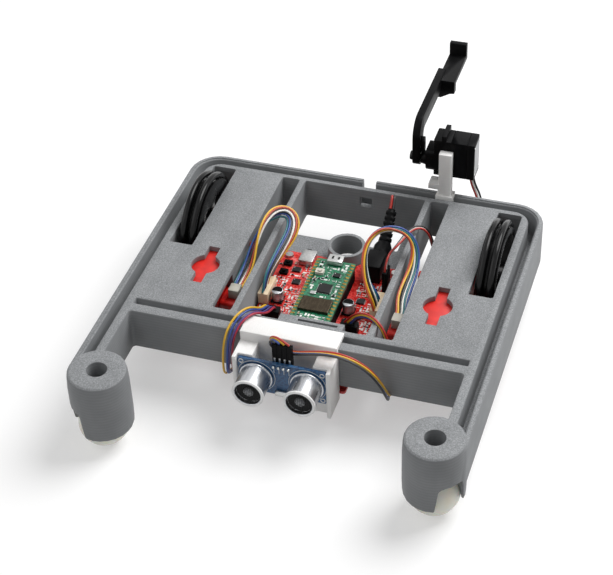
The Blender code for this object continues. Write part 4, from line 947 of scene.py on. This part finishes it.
ROUTES = {
    "left_motor_cable": [
        (-30.0, -44.6, PLUG_TOP), (-30.0, -44.6, 36.3), (-29.4, -39.5, 40.4), (-27.0, -26.0, 44.6),
        (-25.0, -14.0, 48.6), (-27.2, -5.8, 51.8), (-32.4, -3.8, 53.2), (-37.2, -9.0, 53.6),
        (-40.3, -18.5, 51.2), (-41.6, -27.5, 45.5), (-42.0, -35.0, 39.8), (-42.6, -42.5, 37.15),
        (-43.0, -47.5, 36.55), (-43.0, -51.2, 36.55)],
    "right_motor_cable": [
        (28.6, -43.0, PLUG_TOP), (28.6, -43.0, 36.3), (23.6, -40.2, 44.6), (19.6, -32.5, 53.4),
        (19.4, -23.5, 58.6), (23.6, -15.5, 60.6), (30.4, -12.0, 59.6), (37.2, -10.4, 55.0),
        (40.9, -13.8, 48.2), (41.6, -22.0, 43.0), (41.0, -33.0, 40.2), (41.2, -42.0, 38.0),
        (43.0, -47.5, 36.55), (43.0, -51.2, 36.55)],
    "line_sensor_cable": [
        (-22.5, -58.5, SOCKET_TOP), (-22.5, -58.5, 35.4), (-22.0, -66.5, 39.6), (-22.3, -72.0, 42.6),
        (-23.0, -76.5, 46.6), (-25.0, -80.5, 49.6), (-28.2, -87.0, 49.2), (-30.2, -93.6, 45.8),
        (-31.2, -96.6, 38.5), (-31.8, -97.6, 29.5), (-32.6, -96.2, 20.5), (-33.0, -91.0, 16.4),
        (-31.4, -86.2, 17.4), (-28.8, -84.5, 18.75), (-26.3, -84.5, 18.75)],
    "sonar_cable": [
        (19.0, -59.0, SOCKET_TOP), (19.0, -59.0, 35.4), (23.2, -61.4, 42.8), (28.2, -64.0, 46.8),
        (33.2, -66.5, 48.4), (38.0, -68.5, 47.8), (41.3, -70.5, 43.5), (42.6, -71.5, 36.0),
        (43.2, -72.0, 27.0), (44.0, -74.0, 18.4), (46.4, -80.5, 15.2), (48.8, -90.0, 15.6),
        (49.6, -95.4, 23.0), (46.2, -96.4, 33.5), (40.4, -98.0, 41.8), (34.0, -98.6, 47.0),
        (26.0, -99.4, 49.8), (17.0, -99.4, 48.8), (7.5, -97.4, 43.8), (0.0, -97.0, 40.8),
        (-7.5, -97.0, 41.4), (-11.6, -97.2, 46.5), (-10.2, -98.6, 53.2), (-5.6, -100.8, 56.4),
        (-2.0, -101.65, 55.6), (-1.3, -101.65, 53.2), (-1.3, -101.65, 51.3)],
    "servo_cable": [
        (55.0, 49.2, 55.5), (55.0, 49.2, 52.6), (57.0, 49.2, 46.5), (59.2, 49.6, 41.5),
        (59.6, 49.8, 34.0), (58.4, 50.0, 25.0), (55.6, 48.6, 17.6), (51.6, 42.6, 14.2),
        (47.5, 34.0, 14.8), (44.2, 22.0, 21.0), (43.4, 13.0, 33.0), (42.0, 9.8, 43.0),
        (38.4, 8.4, 48.0), (34.0, 5.5, 47.6), (30.6, -2.0, 45.4), (28.7, -10.0, 45.0),
        (28.1, -16.6, 47.4), (28.0, -21.4, 47.2), (28.0, -23.2, 44.4), (28.0, -23.2, 41.9)],
    "battery_lead": [
        (18.9, 20.96, 45.74), (18.9, 23.7, 47.9), (18.4, 25.6, 52.2), (17.0, 29.6, 48.0),
        (15.4, 30.4, 38.0), (13.4, 28.6, 26.0), (10.8, 22.0, 15.5), (8.6, 10.0, 11.6),
        (7.8, -1.0, 12.4), (7.6, -8.7, 12.4)],
}

# Each bundle: its wires' colours, how far apart they lie in millimetres, the way that their row runs
# and how far apart they lie at the start, the same at the end, the plug that moves with them, the half
# turns that the bundle is twisted by, and how many times its bends are eased
BUNDLES = {
    "left_motor_cable": (("teal", "blue", "black", "white", "rust", "yellow"), 1.15,
                         (0, 1, 0), 2.0, (1, 0, 0), 0.9, "left_motor_plug", -1, 8),
    "right_motor_cable": (("rust", "yellow", "black", "white", "teal", "blue"), 1.15,
                          (0, 1, 0), 2.0, (1, 0, 0), 0.9, "right_motor_plug", 1, 8),
    "line_sensor_cable": (("yellow", "blue", "violet", "crimson"), 1.4, (1, 0, 0), 1.5, (0, 1, 0), 0.9,
                          "line_sensor_plug", 0, 8),
    "sonar_cable": (("red", "yellow", "blue", "black"), 1.0, (1, 0, 0), 1.5, (1, 0, 0), 2.4,
                    "sonar_plug", 0, 60),
    "servo_cable": (("red", "white", "black"), 1.0, (1, 0, 0), 1.0, (0, 1, 0), 2.4, "servo_plug", 1, 8),
    "battery_lead": (("red", "black"), 1.5, (1, 0, 0), 1.5, (1, 0, 0), 1.5, "battery_plug", 0, 10),
}


def smooth_line(points, spacing):
    """Evenly spaced points on a smooth curve through a route."""
    route = [at(*point) for point in points]
    ways = [(after - before).normalized() for before, after in zip(route, route[2:])]
    ways = [(route[1] - route[0]).normalized(), *ways, (route[-1] - route[-2]).normalized()]
    fine = []
    for start, end, leaving, arriving in zip(route, route[1:], ways, ways[1:]):
        pull = (end - start).length / 3
        fine += interpolate_bezier(start, start + leaving * pull, end - arriving * pull, end, 12)[:-1]
    fine.append(route[-1])
    legs = [(after - before).length for before, after in zip(fine, fine[1:])]
    total = sum(legs)
    count = max(2, round(total / spacing))
    places = []
    run = 0.0
    for here, leg, following in zip(fine, legs, fine[1:]):
        while len(places) < count and len(places) * total / count <= run + leg:
            places.append(here.lerp(following, (len(places) * total / count - run) / max(leg, 1e-9)))
        run += leg
    return places + [fine[-1]]


def rows_along(line, first, last, half_turns):
    """For each point, the way that the bundle's row of wires runs: from its start's to its end's."""
    rows = [Vector(first)]
    for before, here in zip(line, line[1:]):
        way = (here - before).normalized()
        row = rows[-1] - way * rows[-1].dot(way)
        rows.append(row.normalized())
    goal = Vector(last)
    way = (line[-1] - line[-2]).normalized()
    goal = (goal - way * goal.dot(way)).normalized()
    turn = rows[-1].angle(goal)
    if turn > math.pi / 2:
        goal = -goal
    lift = rows[-1].cross(goal).dot(way)
    turn = math.copysign(rows[-1].angle(goal), lift) + half_turns * math.pi
    turned = []
    for index, row in enumerate(rows):
        share = ease(index / (len(line) - 1))
        turned.append(Matrix.Rotation(turn * share, 3, way_at(line, index)) @ row)
    return turned


def ease(share):
    share = min(1.0, max(0.0, share))
    return share * share * (3 - 2 * share)


# Millimetres along a bundle
POINT_SPACING = 1.6
FAN_LENGTH = 14.0           # how far its wires take to come together from a plug
WANDER_LENGTH = 11.0
LIFT_LENGTH = 16.0

BATTERY_WIRE_SHARE = 1.25   # a battery wire's diameter, against the others'


def way_at(line, index):
    """The way that a line runs at one of its points."""
    return (line[min(index + 1, len(line) - 1)] - line[max(index - 1, 0)]).normalized()


def make_bundle(name):
    """One bundle of wires: each wire is a cord of its own, fanned out at the plugs."""
    colours, apart, first, first_pitch, last, last_pitch, plug, half_turns, eased = BUNDLES[name]
    line = smooth_line(ROUTES[name], POINT_SPACING * MM)
    rows = rows_along(line, first, last, half_turns)
    spacing = (line[1] - line[0]).length / MM
    diameter = bpy.context.scene.robot_finish.wire_mm * (BATTERY_WIRE_SHARE if name == "battery_lead" else 1)
    for index, colour in enumerate(colours):
        place = index - (len(colours) - 1) / 2
        phase = index * 2.3
        points = []
        for step, (here, row) in enumerate(zip(line, rows)):
            run = step * spacing
            near = ease(1 - run / FAN_LENGTH)
            far = ease(1 - ((len(line) - 1) * spacing - run) / FAN_LENGTH)
            between = 1 - max(near, far)
            pitch = apart * between + first_pitch * near + last_pitch * far * (1 - near)
            wander = 0.35 * math.sin(run / WANDER_LENGTH + phase) * between
            lift = (0.7 * math.cos(index * 1.1) + 0.3 * math.sin(run / LIFT_LENGTH + phase)) * between
            across = way_at(line, step).cross(row).normalized()
            points.append(here + (row * (place * pitch + wander) + across * lift) * MM)
        relax(points, eased)
        wire = add_wire(f"{name}_{colour}", points, diameter, look[colour + "_wire"])
        belong(wire, name, name)
        length = sum((b - a).length for a, b in zip(points, points[1:]))
        points[0]


def relax(points, times):
    """Eases the bends of a wire, whose two ends stay where they are plugged in."""
    for _ in range(times):
        points[1:-1] = [(before + here * 2 + after) / 4
                        for before, here, after in zip(points, points[1:], points[2:])]


def add_wire(name, points, diameter, skin):
    curve = bpy.data.curves.new(name, "CURVE")
    curve.dimensions = "3D"
    curve.bevel_depth = diameter / 2 * MM
    curve.bevel_resolution = 3
    curve.use_fill_caps = True
    spline = curve.splines.new("POLY")
    spline.points.add(len(points) - 1)
    for point, place in zip(spline.points, points):
        point.co = (*place, 1.0)
    curve.materials.append(skin)
    wire = bpy.data.objects.new(name, curve)
    bpy.context.collection.objects.link(wire)
    return wire


# ---------------------------------------------------------------- stage

FOCAL_PIXELS = 1677.0
IMAGE_WIDTH = 613.0
IMAGE_HEIGHT = 575.0
SENSOR_MM = 36.0
PRINCIPAL_PIXEL = (306.3, 288.9)
CAMERA_PLACE = (208.66, -656.68, 589.61)
CAMERA_BACK = (0.25425, -0.71838, 0.64753)
CAMERA_ROLL = -2.61


def make_camera():
    """The photograph's camera, solved from the robot's known sizes."""
    back = Vector(CAMERA_BACK).normalized()
    right = (-back).cross(Vector((0, 0, 1))).normalized()
    up = right.cross(-back)
    roll = math.radians(CAMERA_ROLL)
    level = Matrix((right * math.cos(roll) + up * math.sin(roll),
                    up * math.cos(roll) - right * math.sin(roll), back)).transposed()
    data = bpy.data.cameras.new("camera")
    data.sensor_width = SENSOR_MM
    data.lens = FOCAL_PIXELS / IMAGE_WIDTH * SENSOR_MM
    data.shift_x = (IMAGE_WIDTH / 2 - PRINCIPAL_PIXEL[0]) / IMAGE_WIDTH
    data.shift_y = (PRINCIPAL_PIXEL[1] - IMAGE_HEIGHT / 2) / IMAGE_WIDTH
    data.clip_start = 0.05
    data.clip_end = 20
    camera = bpy.data.objects.new("camera", data)
    camera.matrix_world = Matrix.Translation(at(*CAMERA_PLACE)) @ level.to_4x4()
    bpy.context.scene.collection.objects.link(camera)
    bpy.context.scene.camera = camera


def area_light(name, place, aim, size, power):
    data = bpy.data.lights.new(name, "AREA")
    data.shape = "DISK"
    data.size = size
    data.energy = power
    light = bpy.data.objects.new(name, data)
    light.location = place
    light.rotation_euler = (Vector(aim) - Vector(place)).to_track_quat("-Z", "Y").to_euler()
    bpy.context.scene.collection.objects.link(light)


def seen_directly(tree):
    """1 for what the camera sees, also in a mirror or through glass, and 0 for light that is scattered."""
    rays = add_node(tree, "LightPath", {})
    mirrored = add_node(tree, "Math", {0: rays.outputs["Is Glossy Ray"],
                                       1: rays.outputs["Is Transmission Ray"]}, operation="MAXIMUM")
    seen = add_node(tree, "Math", {0: mirrored, 1: rays.outputs["Is Camera Ray"]},
                    operation="MAXIMUM")
    return seen


def floor_paper():
    """Photographer's paper: it looks white, more so further away, and keeps the soft shadows."""
    material, tree, coords, shader = new_material("backdrop_paper")
    fibres = add_node(tree, "TexNoise", {"Vector": coords, "Scale": per_mm(300.0)})
    away = add_node(tree, "VectorMath", {0: coords}, operation="LENGTH")
    whiter = add_node(tree, "MapRange", {"Value": away.outputs["Value"], "From Min": 0.35,
                                         "From Max": 1.1, "To Min": 0.42, "To Max": 1.0})
    lift = add_node(tree, "Math", {0: seen_directly(tree), 1: whiter}, operation="MULTIPLY")
    connect(tree, shader, {
        "Base Color": ramp(tree, fibres, [(0.3, "#C9C9C9"), (0.7, "#CDCDCD")]),
        "Roughness": 0.85, "Specular IOR Level": 0.1, "Emission Color": (1, 1, 1, 1),
        "Emission Strength": lift})
    return material


def make_world(strength):
    """Soft even light from all round, seen as white by the camera and in reflections."""
    world = bpy.data.worlds.new("studio")
    bpy.context.scene.world = world
    world.use_nodes = True
    tree = world.node_tree
    tree.nodes.clear()
    soft = add_node(tree, "Background", {"Color": (1, 1, 1, 1), "Strength": strength})
    white = add_node(tree, "Background", {"Color": (1, 1, 1, 1), "Strength": 1.0})
    mix = add_node(tree, "MixShader", {0: seen_directly(tree), 1: soft,
                                       2: white})
    add_node(tree, "OutputWorld", {"Surface": mix})


def make_stage():
    sizes = bpy.context.scene.robot_finish
    deselect()
    bpy.ops.mesh.primitive_plane_add(size=6, location=(0, 0, 0))
    floor = bpy.context.object
    floor.name = "floor"
    paint(floor, floor_paper())
    make_world(sizes.sky_strength)
    area_light("key_softbox", (0.5, 0.5, 1.1), (0, 0, 0.02), 0.95, sizes.key_power)
    area_light("fill_softbox", (-0.6, -0.5, 0.9), (0, 0, 0.02), 0.9, sizes.key_power * 0.12)
    make_camera()
    bpy.context.scene.view_settings.view_transform = "Standard"


# ---------------------------------------------------------------- add-on

class RobotFinish(bpy.types.PropertyGroup):
    """Sizes and light that a user would change."""
    edge_mm: FloatProperty(name="Print edge", default=0.3, min=0.05, max=0.8,
                           description="How far the chassis edges are rounded, in millimetres")
    print_roughness: FloatProperty(name="Print roughness", default=0.62, min=0.0, max=1.0, subtype="FACTOR",
                                   description="Roughness of the grey printed plastic")
    wire_mm: FloatProperty(name="Wire", description="Diameter of one insulated wire, in millimetres",
                           default=1.15, min=0.6, max=2.0)
    key_power: FloatProperty(name="Key light", description="Power of the main softbox",
                             default=18.5, min=0.0, unit="POWER")
    sky_strength: FloatProperty(name="Soft light", description="Strength of the light from all round",
                                default=0.24, min=0.0, max=2.0)


class ROBOT_OT_stage(bpy.types.Operator):
    """Adds the floor, the soft light and the camera"""
    bl_idname = "robot.stage"
    bl_label = "Stage"

    def execute(self, context):
        make_stage()
        return {"FINISHED"}


class ROBOT_OT_wires(bpy.types.Operator):
    """Lays the six bundles of wires, each wire on its own"""
    bl_idname = "robot.wires"
    bl_label = "Wires"

    def execute(self, context):
        for name in BUNDLES:
            make_bundle(name)
        return {"FINISHED"}


class ROBOT_OT_chassis(bpy.types.Operator):
    """Finishes the printed chassis and the two printed brackets"""
    bl_idname = "robot.chassis"
    bl_label = "Chassis"

    def execute(self, context):
        finish_chassis()
        return {"FINISHED"}


class ROBOT_OT_drive(bpy.types.Operator):
    """Finishes the motors, the wheels, the tyres and the caster balls"""
    bl_idname = "robot.drive"
    bl_label = "Drive"

    def execute(self, context):
        finish_drive()
        return {"FINISHED"}


class ROBOT_OT_controller(bpy.types.Operator):
    """Fills the red controller board with its parts"""
    bl_idname = "robot.controller"
    bl_label = "Controller board"

    def execute(self, context):
        finish_controller()
        return {"FINISHED"}


class ROBOT_OT_processor(bpy.types.Operator):
    """Fills the green processor board with its parts"""
    bl_idname = "robot.processor"
    bl_label = "Processor board"

    def execute(self, context):
        finish_processor()
        return {"FINISHED"}


class ROBOT_OT_battery(bpy.types.Operator):
    """Finishes the battery holder and its four cells"""
    bl_idname = "robot.battery"
    bl_label = "Battery"

    def execute(self, context):
        finish_battery()
        return {"FINISHED"}


class ROBOT_OT_line_sensor(bpy.types.Operator):
    """Finishes the line sensor board under the front rail"""
    bl_idname = "robot.line_sensor"
    bl_label = "Line sensor"

    def execute(self, context):
        finish_line_sensor()
        return {"FINISHED"}


class ROBOT_OT_sonar(bpy.types.Operator):
    """Builds the distance sensor: its cans, its board and its plug"""
    bl_idname = "robot.sonar"
    bl_label = "Distance sensor"

    def execute(self, context):
        finish_sonar()
        return {"FINISHED"}


class ROBOT_OT_servo(bpy.types.Operator):
    """Finishes the servo and the lift arm that it turns"""
    bl_idname = "robot.servo"
    bl_label = "Servo"

    def execute(self, context):
        finish_servo()
        return {"FINISHED"}


STEPS = (ROBOT_OT_stage, ROBOT_OT_chassis, ROBOT_OT_drive, ROBOT_OT_controller, ROBOT_OT_processor,
         ROBOT_OT_battery, ROBOT_OT_line_sensor, ROBOT_OT_sonar, ROBOT_OT_servo, ROBOT_OT_wires)


class ROBOT_PT_finish(bpy.types.Panel):
    """The sizes and the steps of the robot's finish"""
    bl_label = "Robot finish"
    bl_space_type = "VIEW_3D"
    bl_region_type = "UI"
    bl_category = "Robot"

    def draw(self, context):
        for name in RobotFinish.__annotations__:
            self.layout.prop(context.scene.robot_finish, name)
        for step in STEPS:
            self.layout.operator(step.bl_idname)


CLASSES = (RobotFinish, *STEPS, ROBOT_PT_finish)


def register():
    for cls in CLASSES:
        bpy.utils.register_class(cls)
    bpy.types.Scene.robot_finish = PointerProperty(type=RobotFinish)


def unregister():
    del bpy.types.Scene.robot_finish
    for cls in reversed(CLASSES):
        bpy.utils.unregister_class(cls)


def main():
    register()
    for step in STEPS:
        getattr(bpy.ops.robot, step.bl_idname.split(".")[1])()


if __name__ == "__main__":
    main()
